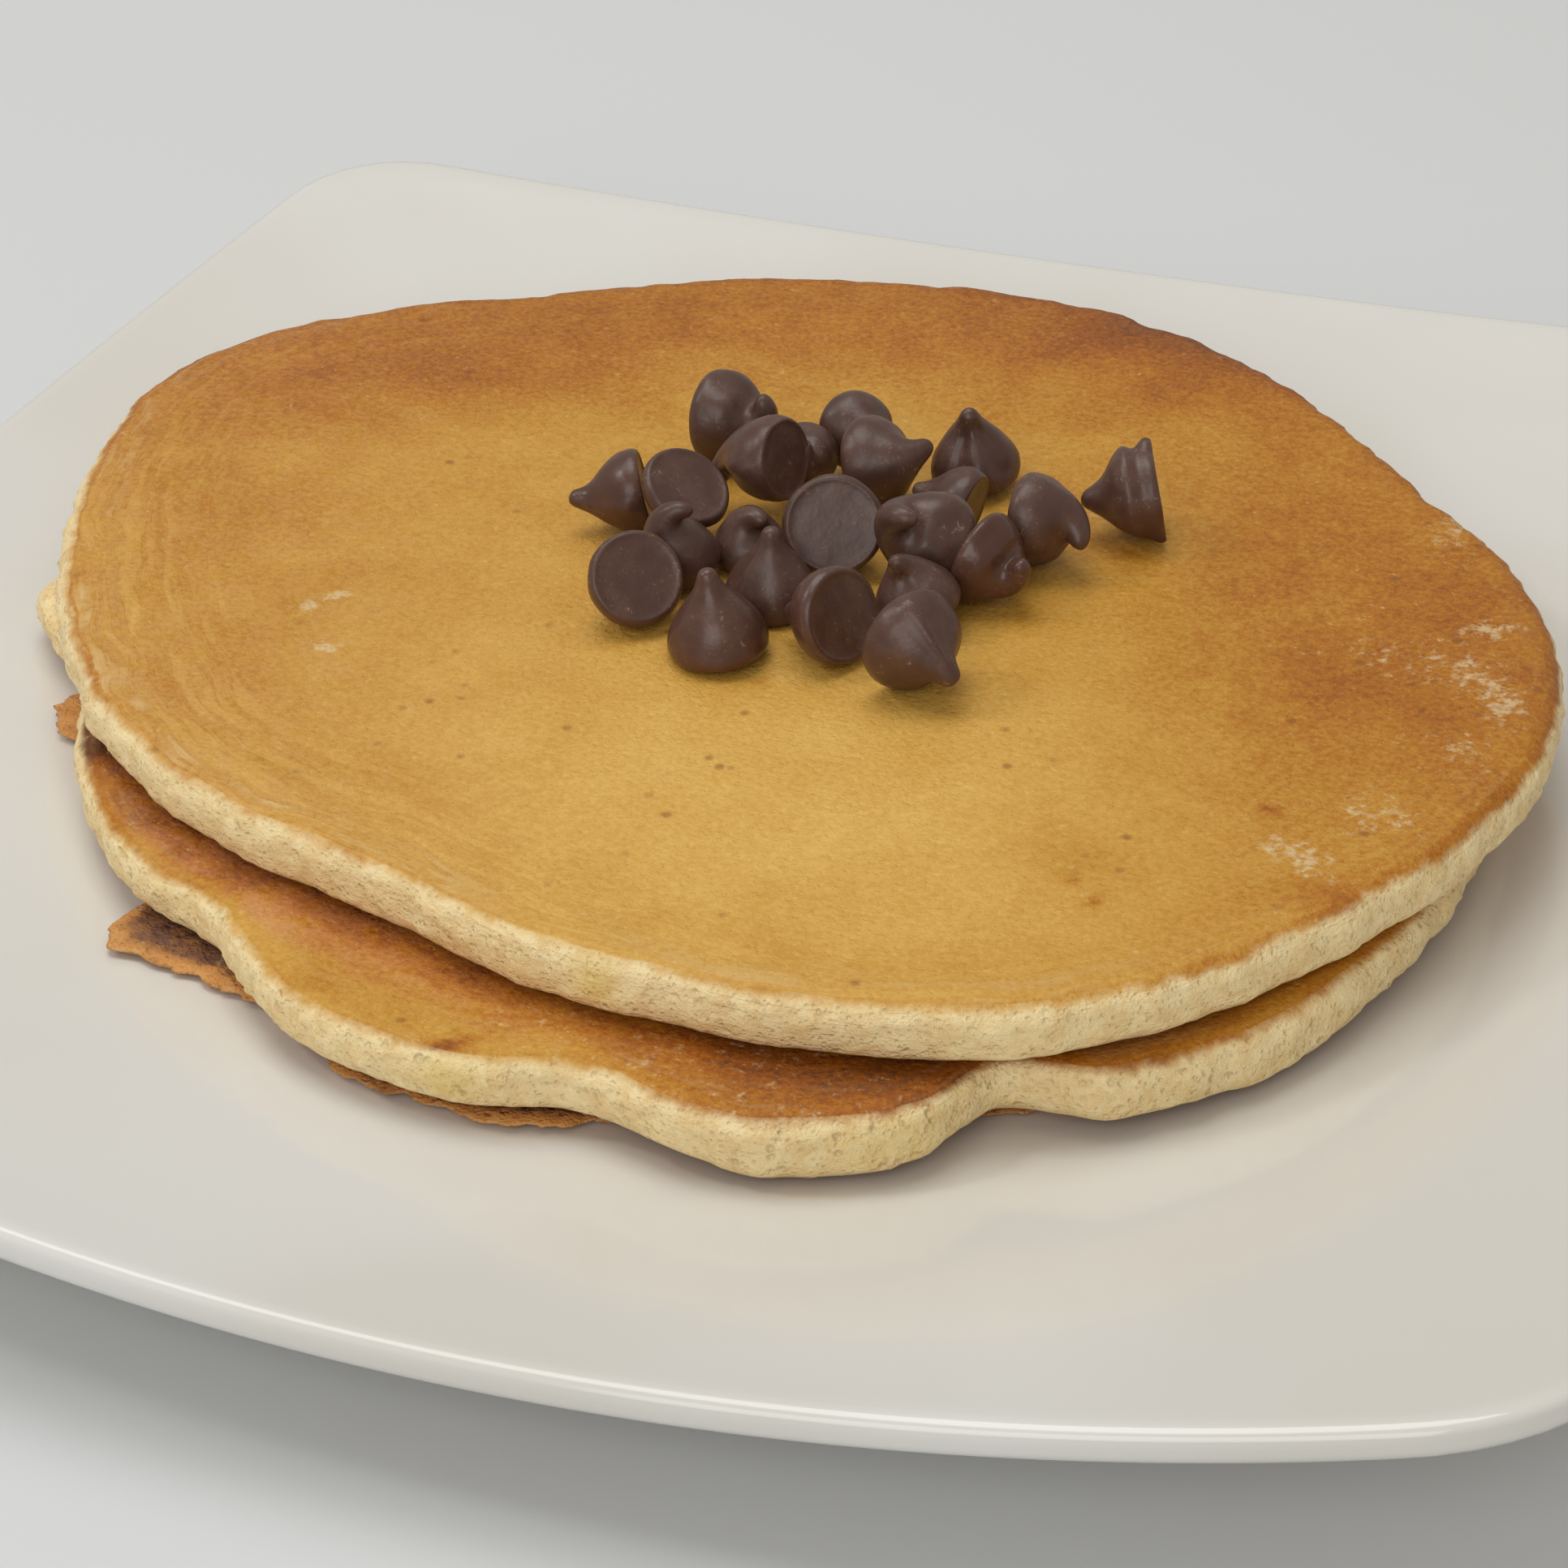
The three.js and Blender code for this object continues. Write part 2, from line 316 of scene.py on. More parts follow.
def new_group(
    effect: Effect, inputs: Sequence[tuple[str, str]], outputs: Sequence[tuple[str, str]]
) -> Wiring:
    """Starts a shader group.

    Args:
        effect: Which one.
        inputs: Names and kinds of what goes in.
        outputs: Names and kinds of what comes out.

    Returns:
        The wiring of its tree, which has one input and one output node.
    """
    tree = bpy.data.node_groups.new(effect.value, "ShaderNodeTree")
    for name, kind in inputs:
        tree.interface.new_socket(name, in_out="INPUT", socket_type=kind)
    for name, kind in outputs:
        tree.interface.new_socket(name, in_out="OUTPUT", socket_type=kind)
    wiring = Wiring(tree)
    wiring.add("NodeGroupInput")
    wiring.add("NodeGroupOutput")
    return wiring


FLOAT = "NodeSocketFloat"
VECTOR = "NodeSocketVector"
COLOUR = "NodeSocketColor"


class SharedEffects:
    """Builds the shader groups that the materials place."""

    def build(self) -> None:
        """Builds every group once."""
        self.pores()
        self.streaks()
        self.baked()

    def pores(self) -> None:
        """Fine open pores and a soft grain, as batter has."""
        wires = new_group(
            Effect.PORES,
            [("Vector", VECTOR), ("Coarse", FLOAT)],
            [("Height", FLOAT), ("Pits", FLOAT), ("Grain", FLOAT)],
        )
        came = wires.tree.nodes["Group Input"].outputs
        left = wires.tree.nodes["Group Output"].inputs
        soft = wires.noise(came["Vector"], 420, 3, 0.6)
        fine = wires.noise(came["Vector"], 1250, 3, 0.75)
        holes = wires.cells(came["Vector"], 620)
        small = wires.cells(came["Vector"], 1300)
        open_holes = wires.math("SUBTRACT", 1.0, wires.rise(holes, 0.05, 0.42))
        open_small = wires.math("SUBTRACT", 1.0, wires.rise(small, 0.05, 0.4))
        chosen = wires.math("MULTIPLY", open_holes, wires.rise(soft, 0.42, 0.62))
        pits = wires.math("MULTIPLY", chosen, came["Coarse"])
        pits = wires.math("ADD", pits, wires.math("MULTIPLY", open_small, 0.35))
        bumps = wires.math("ADD", wires.math("MULTIPLY", soft, 0.6), wires.math("MULTIPLY", fine, 0.4))
        wires.feed(left["Height"], wires.math("SUBTRACT", bumps, wires.math("MULTIPLY", pits, 0.6)))
        wires.feed(left["Pits"], pits)
        wires.feed(left["Grain"], fine)

    def streaks(self) -> None:
        """Thin uneven lines that run along a pancake's edge."""
        wires = new_group(
            Effect.STREAKS,
            [("Vector", VECTOR), ("Inset", FLOAT), ("Fineness", FLOAT)],
            [("Bands", FLOAT), ("Lines", FLOAT)],
        )
        came = wires.tree.nodes["Group Input"].outputs
        left = wires.tree.nodes["Group Output"].inputs
        wobble = wires.noise(came["Vector"], 60, 2, 0.5)
        across = wires.math("ADD", came["Inset"], wires.math("MULTIPLY", wobble, 5.0))
        node = wires.add("ShaderNodeTexNoise", noise_dimensions="4D")
        wires.feed(node.inputs["Vector"], came["Vector"])
        wires.feed(node.inputs["W"], wires.math("MULTIPLY", across, came["Fineness"]))
        node.inputs["Scale"].default_value = 48
        node.inputs["Detail"].default_value = 3
        node.inputs["Roughness"].default_value = 0.6
        bands = node.outputs["Fac"]
        near = wires.math("ABSOLUTE", wires.math("SUBTRACT", bands, 0.5))
        wires.feed(left["Bands"], bands)
        wires.feed(left["Lines"], wires.math("SUBTRACT", 1.0, wires.rise(near, 0.0, 0.035)))

    def baked(self) -> None:
        """Pale side and browned face of a pancake, with a ragged border between."""
        wires = new_group(
            Effect.BAKED,
            [
                ("Vector", VECTOR),
                ("Inset", FLOAT),
                ("Brown", FLOAT),
                ("Rosy", FLOAT),
                ("Spots", FLOAT),
                ("Yolk", FLOAT),
                ("Grain", FLOAT),
                ("Pits", FLOAT),
                ("Cream", COLOUR),
                ("Shade", COLOUR),
                ("Ragged", FLOAT),
                ("Rim", FLOAT),
                ("Ring", FLOAT),
                ("Bands", FLOAT),
            ],
            [("Color", COLOUR), ("Crust", FLOAT)],
        )
        came = wires.tree.nodes["Group Input"].outputs
        left = wires.tree.nodes["Group Output"].inputs
        broad = wires.noise(came["Vector"], 75, 3, 0.6)
        torn = wires.noise(came["Vector"], 330, 4, 0.65, 0.4)
        uneven = wires.math("ADD", wires.math("SUBTRACT", broad, 0.5), wires.math("SUBTRACT", torn, 0.5))
        edge = wires.math("ADD", came["Inset"], wires.math("MULTIPLY", uneven, came["Ragged"]))
        crust = wires.rise(edge, -0.7, 1.1)
        rim = wires.math("MULTIPLY", wires.math("SUBTRACT", 1.0, wires.rise(edge, 0.4, 3.2)), came["Rim"])
        tone = wires.math("ADD", came["Brown"], rim)
        cloudy = wires.math("MULTIPLY", wires.math("SUBTRACT", broad, 0.5), 0.42)
        grainy = wires.math("MULTIPLY", wires.math("SUBTRACT", came["Grain"], 0.5), 0.66)
        tone = wires.math("ADD", wires.math("ADD", tone, cloudy), grainy)
        tone = wires.math("ADD", tone, wires.math("MULTIPLY", came["Pits"], -0.05), clamp=True)
        face = wires.ramp(tone, BAKE_SCALE)
        toast = wires.ramp(tone, TOAST_SCALE)
        toasted = wires.math("MULTIPLY", came["Rosy"], wires.rise(torn, 0.3, 0.6), clamp=True)
        face = wires.mix(toasted, face, toast)
        flecks = wires.noise(came["Vector"], 520, 4, 0.7)
        fleck_fine = wires.noise(came["Vector"], 900, 3, 0.7)
        cells = wires.cells(came["Vector"], 190)
        dots = wires.math("SUBTRACT", 1.0, wires.rise(cells, 0.05, 0.17))
        freckled = wires.rise(wires.noise(came["Vector"], 55, 1, 0.5), 0.46, 0.6, 0.6)
        dots = wires.math("MULTIPLY", dots, freckled)
        face = wires.mix(dots, face, linear(134, 78, 26))
        face = wires.mix(wires.rise(flecks, 0.62, 0.75, 0.5), face, linear(232, 192, 122))
        broken = wires.math("MULTIPLY", wires.math("ADD", flecks, fleck_fine), 1.3)
        spotted = wires.rise(wires.math("ADD", came["Spots"], broken), 1.62, 2.06, 0.55)
        face = wires.mix(spotted, face, linear(232, 214, 170))
        near = wires.math("SUBTRACT", 1.0, wires.rise(edge, 4.5, 9.0))
        inner = wires.math("MULTIPLY", wires.rise(edge, 1.0, 2.4), near)
        patchy = wires.rise(came["Bands"], 0.44, 0.68, 0.62)
        patchy = wires.math("MULTIPLY", patchy, wires.rise(broad, 0.4, 0.58))
        streak = wires.math("MULTIPLY", wires.math("MULTIPLY", inner, came["Ring"]), patchy)
        face = wires.mix(streak, face, linear(234, 202, 138))
        side = wires.mix(wires.rise(torn, 0.35, 0.68), came["Cream"], came["Shade"])
        # Painted shade in the pores: the side darkens towards the Shade colour where the pits are.
        side = wires.mix(wires.math("MULTIPLY", came["Pits"], 0.35), side, came["Shade"])
        side = wires.mix(came["Yolk"], side, linear(232, 196, 84))
        wires.feed(left["Color"], wires.mix(crust, side, face))
        wires.feed(left["Crust"], crust)


# From the palest gold to the darkest crisp brown.
BAKE_SCALE = (
    (0.0, linear(230, 184, 96)),
    (0.22, linear(215, 165, 74)),
    (0.42, linear(201, 146, 52)),
    (0.6, linear(184, 117, 24)),
    (0.78, linear(158, 87, 14)),
    (1.0, linear(108, 58, 20)),
)
# The redder tones of a face that stuck to the pan.
TOAST_SCALE = (
    (0.0, linear(226, 174, 118)),
    (0.4, linear(208, 144, 90)),
    (0.62, linear(190, 120, 68)),
    (0.8, linear(150, 92, 54)),
    (1.0, linear(98, 62, 46)),
)


# ------------------------------------------------------------------ finishes


@dataclass(frozen=True)
class Finish:
    """What every finish has: a name, and how rough it is."""

    name: str
    roughness: float

    def start(self) -> tuple[bpy.types.Material, Wiring, bpy.types.Node]:
        """Starts the material.

        Returns:
            The material, its wiring, and its Principled BSDF.
        """
        material = bpy.data.materials.new(self.name)
        material.use_nodes = True
        shader = material.node_tree.nodes["Principled BSDF"]
        shader.inputs["Roughness"].default_value = self.roughness
        return material, Wiring(material.node_tree), shader


@dataclass(frozen=True)
class BakedFinish(Finish):
    """Pancake: pale porous side, browned face."""

    cream: tuple[float, float, float, float] = linear(252, 228, 174)
    shade: tuple[float, float, float, float] = linear(240, 208, 148)
    ragged: float = 1.9
    rim: float = 0.07
    coarse: float = 0.6
    fineness: float = 0.012
    streaks: float = 0.15
    lines: float = 0.0

    def material(self) -> bpy.types.Material:
        """Mixes the finish.

        Returns:
            The finished material.
        """
        material, wires, shader = self.start()
        place = wires.place()
        inset = wires.attribute("inset")
        pores = wires.shared(Effect.PORES, Vector=place, Coarse=self.coarse)
        bands = wires.shared(Effect.STREAKS, Vector=place, Inset=inset, Fineness=self.fineness)
        ring = wires.attribute("ring")
        swing = wires.math("SUBTRACT", bands.outputs["Bands"], 0.5)
        swing = wires.math("MULTIPLY", swing, self.streaks * 4.0)
        swing = wires.math("ADD", swing, wires.math("MULTIPLY", bands.outputs["Lines"], self.lines))
        brown = wires.math("ADD", wires.attribute("brown"), wires.math("MULTIPLY", swing, ring))
        baked = wires.shared(
            Effect.BAKED,
            Vector=place,
            Inset=inset,
            Brown=brown,
            Rosy=wires.attribute("rosy"),
            Spots=wires.attribute("spots"),
            Yolk=wires.attribute("yolk"),
            Grain=pores.outputs["Grain"],
            Pits=pores.outputs["Pits"],
            Cream=self.cream,
            Shade=self.shade,
            Ragged=self.ragged,
            Rim=self.rim,
            Ring=ring,
            Bands=bands.outputs["Bands"],
        )
        wires.feed(shader.inputs["Base Color"], baked.outputs["Color"])
        level = wires.math("SUBTRACT", pores.outputs["Height"], 0.42)
        height = wires.math("ADD", level, wires.math("MULTIPLY", swing, 0.4))
        side = wires.math("SUBTRACT", 1.2, wires.math("MULTIPLY", baked.outputs["Crust"], 0.8))
        bump = wires.add("ShaderNodeBump")
        bump.inputs["Distance"].default_value = 0.0009
        bump.inputs["Strength"].default_value = 0.8
        wires.feed(bump.inputs["Height"], wires.math("MULTIPLY", height, side))
        wires.feed(shader.inputs["Normal"], bump.outputs["Normal"])
        gloss = wires.math("MULTIPLY_ADD", pores.outputs["Grain"], 0.16, self.roughness - 0.08)
        wires.feed(shader.inputs["Roughness"], gloss)
        shader.inputs["Specular IOR Level"].default_value = 0.35
        return material


@dataclass(frozen=True)
class LaceFinish(Finish):
    """Thin crisp batter: mottled dark brown, with an orange fringe."""

    def material(self) -> bpy.types.Material:
        """Mixes the finish.

        Returns:
            The finished material.
        """
        material, wires, shader = self.start()
        place = wires.place()
        pores = wires.shared(Effect.PORES, Vector=place, Coarse=1.0)
        broad = wires.noise(place, 120, 4, 0.65, 0.5)
        fine = wires.noise(place, 620, 3, 0.7)
        tone = wires.math("ADD", wires.math("MULTIPLY", broad, 0.9), wires.math("MULTIPLY", fine, 0.45))
        tone = wires.math("SUBTRACT", tone, wires.rise(wires.attribute("inset"), 0.8, 4.2, 0.42))
        tone = wires.math("ADD", tone, 0.05, clamp=True)
        colour = wires.ramp(tone, LACE_SCALE)
        # Painted shade in the pores: the pits are darkened towards a near-black brown.
        colour = wires.mix(wires.math("MULTIPLY", pores.outputs["Pits"], 0.3), colour, linear(70, 42, 30))
        flour = wires.rise(wires.noise(place, 420, 3, 0.65), 0.6, 0.72, 0.45)
        wires.feed(shader.inputs["Base Color"], wires.mix(flour, colour, linear(206, 186, 156)))
        wires.feed(shader.inputs["Roughness"], wires.math("MULTIPLY_ADD", fine, 0.2, self.roughness - 0.1))
        bump = wires.add("ShaderNodeBump")
        bump.inputs["Distance"].default_value = 0.0008
        bump.inputs["Strength"].default_value = 0.8
        wires.feed(bump.inputs["Height"], wires.math("ADD", pores.outputs["Height"], fine))
        wires.feed(shader.inputs["Normal"], bump.outputs["Normal"])
        return material


# From scorched to the orange of the thinnest fringe.
LACE_SCALE = (
    (0.0, linear(84, 56, 50)),
    (0.3, linear(116, 80, 62)),
    (0.5, linear(160, 108, 62)),
    (0.7, linear(210, 146, 76)),
    (1.0, linear(232, 178, 108)),
)


@dataclass(frozen=True)
class ChocolateFinish(Finish):
    """Chocolate: satin, with a faint bloom, pale scuffs that also act as painted highlight glints, and a
    gloss where it melted.
    """

    dark: tuple[float, float, float, float] = linear(82, 55, 45)
    bloom: tuple[float, float, float, float] = linear(108, 78, 66)
    melted: tuple[float, float, float, float] = linear(92, 52, 32)

    def material(self) -> bpy.types.Material:
        """Mixes the finish.

        Returns:
            The finished material.
        """
        material, wires, shader = self.start()
        place = wires.place()
        melt = wires.attribute("melt")
        cloud = wires.noise(place, 260, 3, 0.6)
        fine = wires.noise(place, 1600, 3, 0.65)
        scuff_and_glint = wires.noise(place, 700, 5, 0.75, 2.5)
        # Pale marks: real scuffs that also serve as painted highlight glints on the chips.
        marks = wires.math("MULTIPLY", wires.rise(scuff_and_glint, 0.59, 0.65), wires.rise(cloud, 0.46, 0.56))
        colour = wires.mix(wires.rise(cloud, 0.35, 0.75, 0.55), self.dark, self.bloom)
        colour = wires.mix(wires.math("MULTIPLY", marks, 0.7), colour, linear(150, 122, 108))
        colour = wires.mix(wires.math("MULTIPLY", melt, 0.75), colour, self.melted)
        wires.feed(shader.inputs["Base Color"], colour)
        rough = wires.math("MULTIPLY_ADD", fine, 0.14, self.roughness - 0.07)
        rough = wires.math("ADD", rough, wires.math("MULTIPLY", marks, 0.2))
        rough = wires.math("SUBTRACT", rough, wires.math("MULTIPLY", melt, 0.28))
        wires.feed(shader.inputs["Roughness"], rough)
        bump = wires.add("ShaderNodeBump")
        bump.inputs["Distance"].default_value = 0.0004
        bump.inputs["Strength"].default_value = 0.4
        wires.feed(bump.inputs["Height"], wires.math("ADD", cloud, wires.math("MULTIPLY", fine, 0.12)))
        wires.feed(shader.inputs["Normal"], bump.outputs["Normal"])
        shader.inputs["Specular IOR Level"].default_value = 0.5
        return material


@dataclass(frozen=True)
class GlazeFinish(Finish):
    """White glaze over stoneware: glossy, very slightly wavy."""

    white: tuple[float, float, float, float] = linear(229, 227, 222)
    warm: tuple[float, float, float, float] = linear(224, 220, 212)

    def material(self) -> bpy.types.Material:
        """Mixes the finish.

        Returns:
            The finished material.
        """
        material, wires, shader = self.start()
        place = wires.place()
        broad = wires.noise(place, 14, 2, 0.5)
        fine = wires.noise(place, 240, 2, 0.5)
        colour = wires.mix(wires.rise(broad, 0.35, 0.65), self.white, self.warm)
        wires.feed(shader.inputs["Base Color"], colour)
        wires.feed(shader.inputs["Roughness"], wires.math("MULTIPLY_ADD", fine, 0.05, self.roughness - 0.02))
        bump = wires.add("ShaderNodeBump")
        bump.inputs["Distance"].default_value = 0.0008
        bump.inputs["Strength"].default_value = 0.12
        wires.feed(bump.inputs["Height"], wires.noise(place, 45, 2, 0.5))
        wires.feed(shader.inputs["Normal"], bump.outputs["Normal"])
        shader.inputs["Coat Weight"].default_value = 0.35
        shader.inputs["Coat Roughness"].default_value = 0.06
        return material


@dataclass(frozen=True)
class TableFinish(Finish):
    """Smooth pale table top."""

    white: tuple[float, float, float, float] = linear(224, 225, 226)

    def material(self) -> bpy.types.Material:
        """Mixes the finish.

        Returns:
            The finished material.
        """
        material, wires, shader = self.start()
        tint = wires.mix(wires.noise(wires.place(), 3, 2, 0.5), self.white, linear(220, 221, 221))
        wires.feed(shader.inputs["Base Color"], tint)
        return material


# ------------------------------------------------------------------ shapes shared by the pieces


@dataclass(frozen=True)
class Lobe:
    """One place where an outline bulges or draws in."""

    at: float
    grow: float
    spread: float


@dataclass(frozen=True)
class Outline:
    """An ellipse with lobes about (u, v), in mm and degrees, in the food's own axes."""

    u: float
    v: float
    long: float
    short: float
    short_at: float
    lobes: tuple[Lobe, ...]

    def radius(self, degrees: float) -> float:
        """Distance from its middle to the outline.

        Args:
            degrees: Direction.

        Returns:
            The distance in mm.
        """
        turn = math.radians(degrees - self.short_at)
        reach = self.long * self.short / math.hypot(self.long * math.cos(turn), self.short * math.sin(turn))
        for lobe in self.lobes:
            reach += lobe.grow * bell(angle_apart(degrees, lobe.at), lobe.spread)
        return reach

    def inside(self, u: float, v: float) -> float:
        """How far a point lies inside the outline, in mm; negative outside."""
        du, dv = u - self.u, v - self.v
        return self.radius(math.degrees(math.atan2(dv, du))) - math.hypot(du, dv)


TOP_OUTLINE = Outline(
    -2, 12.5, 97, 81.4, 49.5,
    (
        Lobe(57, 4.5, 13), Lobe(142, 4.5, 9), Lobe(109, -5.5, 12), Lobe(-76, 4, 12),
        Lobe(-126, -4, 11), Lobe(-45, -2, 13), Lobe(13, -3.2, 10), Lobe(176, -1.4, 14),
    ),
)
MIDDLE_OUTLINE = Outline(
    0, -2, 83.4, 83.4, 0,
    (
        Lobe(163, 15, 6), Lobe(-176, 2.4, 12), Lobe(-145, -4.2, 6), Lobe(-108, -4.8, 4.5),
        Lobe(-91, 2.4, 7), Lobe(-75, -6, 3.4), Lobe(-58, 1.4, 9), Lobe(-19, -1.6, 9),
        Lobe(40, -3, 12), Lobe(85, 2, 14), Lobe(125, -2.5, 10),
    ),
)
LACE_OUTLINE = Outline(
    0, 0, 76, 76, 0,
    (
        Lobe(176, 15.5, 5.5), Lobe(-151, 12.5, 3.6), Lobe(-143, 5.5, 3.5), Lobe(-127, 7, 7),
        Lobe(-113, 5.5, 6), Lobe(-72, 2, 4), Lobe(-90, -5, 6), Lobe(-30, 3, 9),
        Lobe(20, 4, 8), Lobe(62, -4, 8), Lobe(100, 5, 9), Lobe(140, -3, 8),
    ),
)


def turned_food(place: Vector) -> Vector:
    """A point in the food's own axes, in mm, as a point of the model, in metres."""
    c, s = math.cos(FOOD_TURN), math.sin(FOOD_TURN)
    return Vector((place.x * c - place.y * s, place.x * s + place.y * c, place.z)) * MM


def spun_section(section: Iterable[tuple[float, float]], steps: int) -> bmesh.types.BMesh:
    """Spins a half section round the Z axis.

    Args:
        section: Points (radius, height) from the axis to the axis.
        steps: How many facets go round.

    Returns:
        The closed mesh.
    """
    mesh = bmesh.new()
    points = [mesh.verts.new((radius, 0.0, height)) for radius, height in section]
    edges = [mesh.edges.new(pair) for pair in zip(points, points[1:])]
    bmesh.ops.spin(
        mesh, geom=points + edges, cent=(0, 0, 0), axis=(0, 0, 1), angle=math.tau, steps=steps, use_merge=True
    )
    bmesh.ops.remove_doubles(mesh, verts=mesh.verts, dist=1e-6)
    bmesh.ops.recalc_face_normals(mesh, faces=mesh.faces)
    return mesh


def finished_piece(name: str, mesh: bmesh.types.BMesh, material: bpy.types.Material) -> bpy.types.Object:
    """Makes an object of a mesh, smooth shaded and dressed.

    Args:
        name: The piece's name.
        mesh: Its shape, which is freed.
        material: Its material.

    Returns:
        The object, linked into the scene.
    """
    bmesh.ops.recalc_face_normals(mesh, faces=mesh.faces)
    for face in mesh.faces:
        face.smooth = True
    data = bpy.data.meshes.new(name)
    mesh.to_mesh(data)
    mesh.free()
    data.materials.append(material)
    piece = bpy.data.objects.new(name, data)
    bpy.context.scene.collection.objects.link(piece)
    return piece


def settle_piece(piece: bpy.types.Object, node: str) -> None:
    """Lets a piece ride on the model in place of its solid, and reports it.

    Args:
        piece: The finished piece.
        node: The solid it stands for.
    """
    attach(piece, "root")
    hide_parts(node)
    LOG.info("%s: %d faces", piece.name, len(piece.data.polygons))


# ------------------------------------------------------------------ plate


@dataclass
class Plate:
    """Square plate with bowed sides, raised round corners and a round foot; sizes in mm."""

    half_side: float = 126.4
    side_bow: float = 11.0
    corner_radius: float = 23.5
    well_floor: float = 7.1
    flat_radius: float = 40.0
    rise: float = 0.00156
    wall: float = 4.5
    square_from: float = 62.0
    foot_outer: float = 64.0
    foot_width: float = 6.0
    steps: int = 288

    def surface(self, radius: float) -> float:
        """Height of the eating surface this far from the middle."""
        return self.well_floor + self.rise * max(0.0, radius - self.flat_radius) ** 2

    def rim(self, angle: float) -> float:
        """Distance from the middle to the rim: bowed sides joined by round corners.

        Args:
            angle: Direction in radians.

        Returns:
            The distance in mm.
        """
        straight = self.half_side - self.corner_radius - self.side_bow
        side_radius = (straight**2 + self.side_bow**2) / (2 * self.side_bow)
        side_centre = self.half_side - self.corner_radius - side_radius
        quarter = math.pi / 2
        turn = abs(angle - quarter * round(angle / quarter))
        reach = side_radius + self.corner_radius
        joint_from = math.asin(straight / side_radius)
        joint = math.atan2(reach * math.sin(joint_from), side_centre + reach * math.cos(joint_from))
        if turn < joint:
            return side_centre * math.cos(turn) + math.sqrt(reach**2 - (side_centre * math.sin(turn)) ** 2)
        away = straight * math.sqrt(2) * math.cos(math.pi / 4 - turn)
        aside = straight * math.sqrt(2) * math.sin(math.pi / 4 - turn)
        return away + math.sqrt(max(0.0, self.corner_radius**2 - aside**2))

    def section(self) -> list[tuple[float, float]]:
        """Half section from underneath to the eating surface: (radius, depth below that surface).

        Returns:
            The points; a depth of more than twice the wall marks the foot's sole.
        """
        sole = 3 * self.wall
        foot_in = self.foot_outer - self.foot_width
        points = [(radius, self.wall) for radius in (0.0, 20.0, 40.0, foot_in - 2.5, foot_in - 0.6)]
        points += [(foot_in, self.wall + 0.5), (foot_in + 0.6, sole - 0.6), (foot_in + 1.3, sole)]
        points += [(self.foot_outer - 1.3, sole), (self.foot_outer - 0.6, sole - 0.6)]
        points.append((self.foot_outer, self.wall + 0.5))
        points += [(self.foot_outer + out, self.wall) for out in (0.8, 4.0)]
        points += [(radius, self.wall) for radius in (75.0, 86.0, 97.0, 107.0, 115.0, 120.0)]
        middle = self.wall * 0.5
        for step in range(13):
            turn = -math.pi / 2 + math.pi * step / 12
            out = self.half_side - 0.2 - 2.5 * (1.0 - math.cos(turn) ** 0.8)
            points.append((out, middle - middle * math.copysign(abs(math.sin(turn)) ** 0.85, turn)))
        points += [(radius, 0.0) for radius in (122.0, 118.0, 112.0, 105.0, 97.0, 89.0, 80.0)]
        points += [(radius, 0.0) for radius in (70.0, 60.0, 50.0, 40.0, 28.0, 14.0, 0.0)]
        return points

    def build(self, finish: Finish) -> bpy.types.Object:
        """Builds and dresses the plate.

        Args:
            finish: Its glaze.

        Returns:
            The plate.
        """
        mesh = spun_section([(radius, -depth) for radius, depth in self.section()], self.steps)
        for point in mesh.verts:
            radius = math.hypot(point.co.x, point.co.y)
            depth = -point.co.z
            angle = math.atan2(point.co.y, point.co.x)
            square = smooth_step(self.square_from, self.half_side, radius)
            reach = radius * (1 + square * (self.rim(angle) / self.half_side - 1))
            over = depth - 2 * self.wall
            height = self.surface(reach) - depth if over < 0 else max(0.0, self.wall - over)
            point.co = Vector((reach * math.cos(angle), reach * math.sin(angle), height)) * MM
        piece = finished_piece("plate_glazed", mesh, finish.material())
        settle_piece(piece, "plate")
        return piece


PLATE = Plate()


# ------------------------------------------------------------------ pancakes


@dataclass
class Stack:
    """How the pancakes lie on the plate and on each other; sizes in mm."""

    seat: float = 0.3
    lace: float = 1.5
    middle: float = 8.8
    middle_thinning: float = 1.9
    top: float = 8.4
    top_thinning: float = 0.9
    top_seat: float = 0.5
    sag_radius: float = 84.0
    measure: float = 85.0

    def lace_top(self, radius: float) -> float:
        """Height of the crisp lowest pancake's upper face."""
        return PLATE.surface(radius) + self.seat + self.lace

    def level(self, radius: float) -> float:
        """Height of the middle pancake's upper face, dished like the well.

        Args:
            radius: Distance from the plate's middle.

        Returns:
            The height in mm.
        """
        held = min(radius, self.sag_radius)
        thickness = self.middle - self.middle_thinning * (held / self.measure) ** 2
        return self.lace_top(held) + self.seat + thickness

    def middle_under(self, u: float, v: float) -> float:
        """Height of the middle pancake's underside, which comes down on the plate past the lace.

        Args:
            u: Place to the right, in the food's axes.
            v: Place to the back.

        Returns:
            The height in mm.
        """
        radius = math.hypot(u, v)
        degrees = math.degrees(math.atan2(v, u))
        lace = max(LACE_OUTLINE.radius(degrees + step) for step in (-9.0, -4.5, 0.0, 4.5, 9.0))
        bare = smooth_step(lace + 3.5, lace + 10.5, radius)
        return self.lace_top(radius) + self.seat - bare * self.lace

    def top_under(self, radius: float) -> float:
        """Height of the upper pancake's underside."""
        return self.level(radius) + self.top_seat

    def top_over(self, radius: float) -> float:
        """Height of the upper pancake's face."""
        return self.top_under(radius) + self.top - self.top_thinning * (radius / self.measure) ** 2


STACK = Stack()


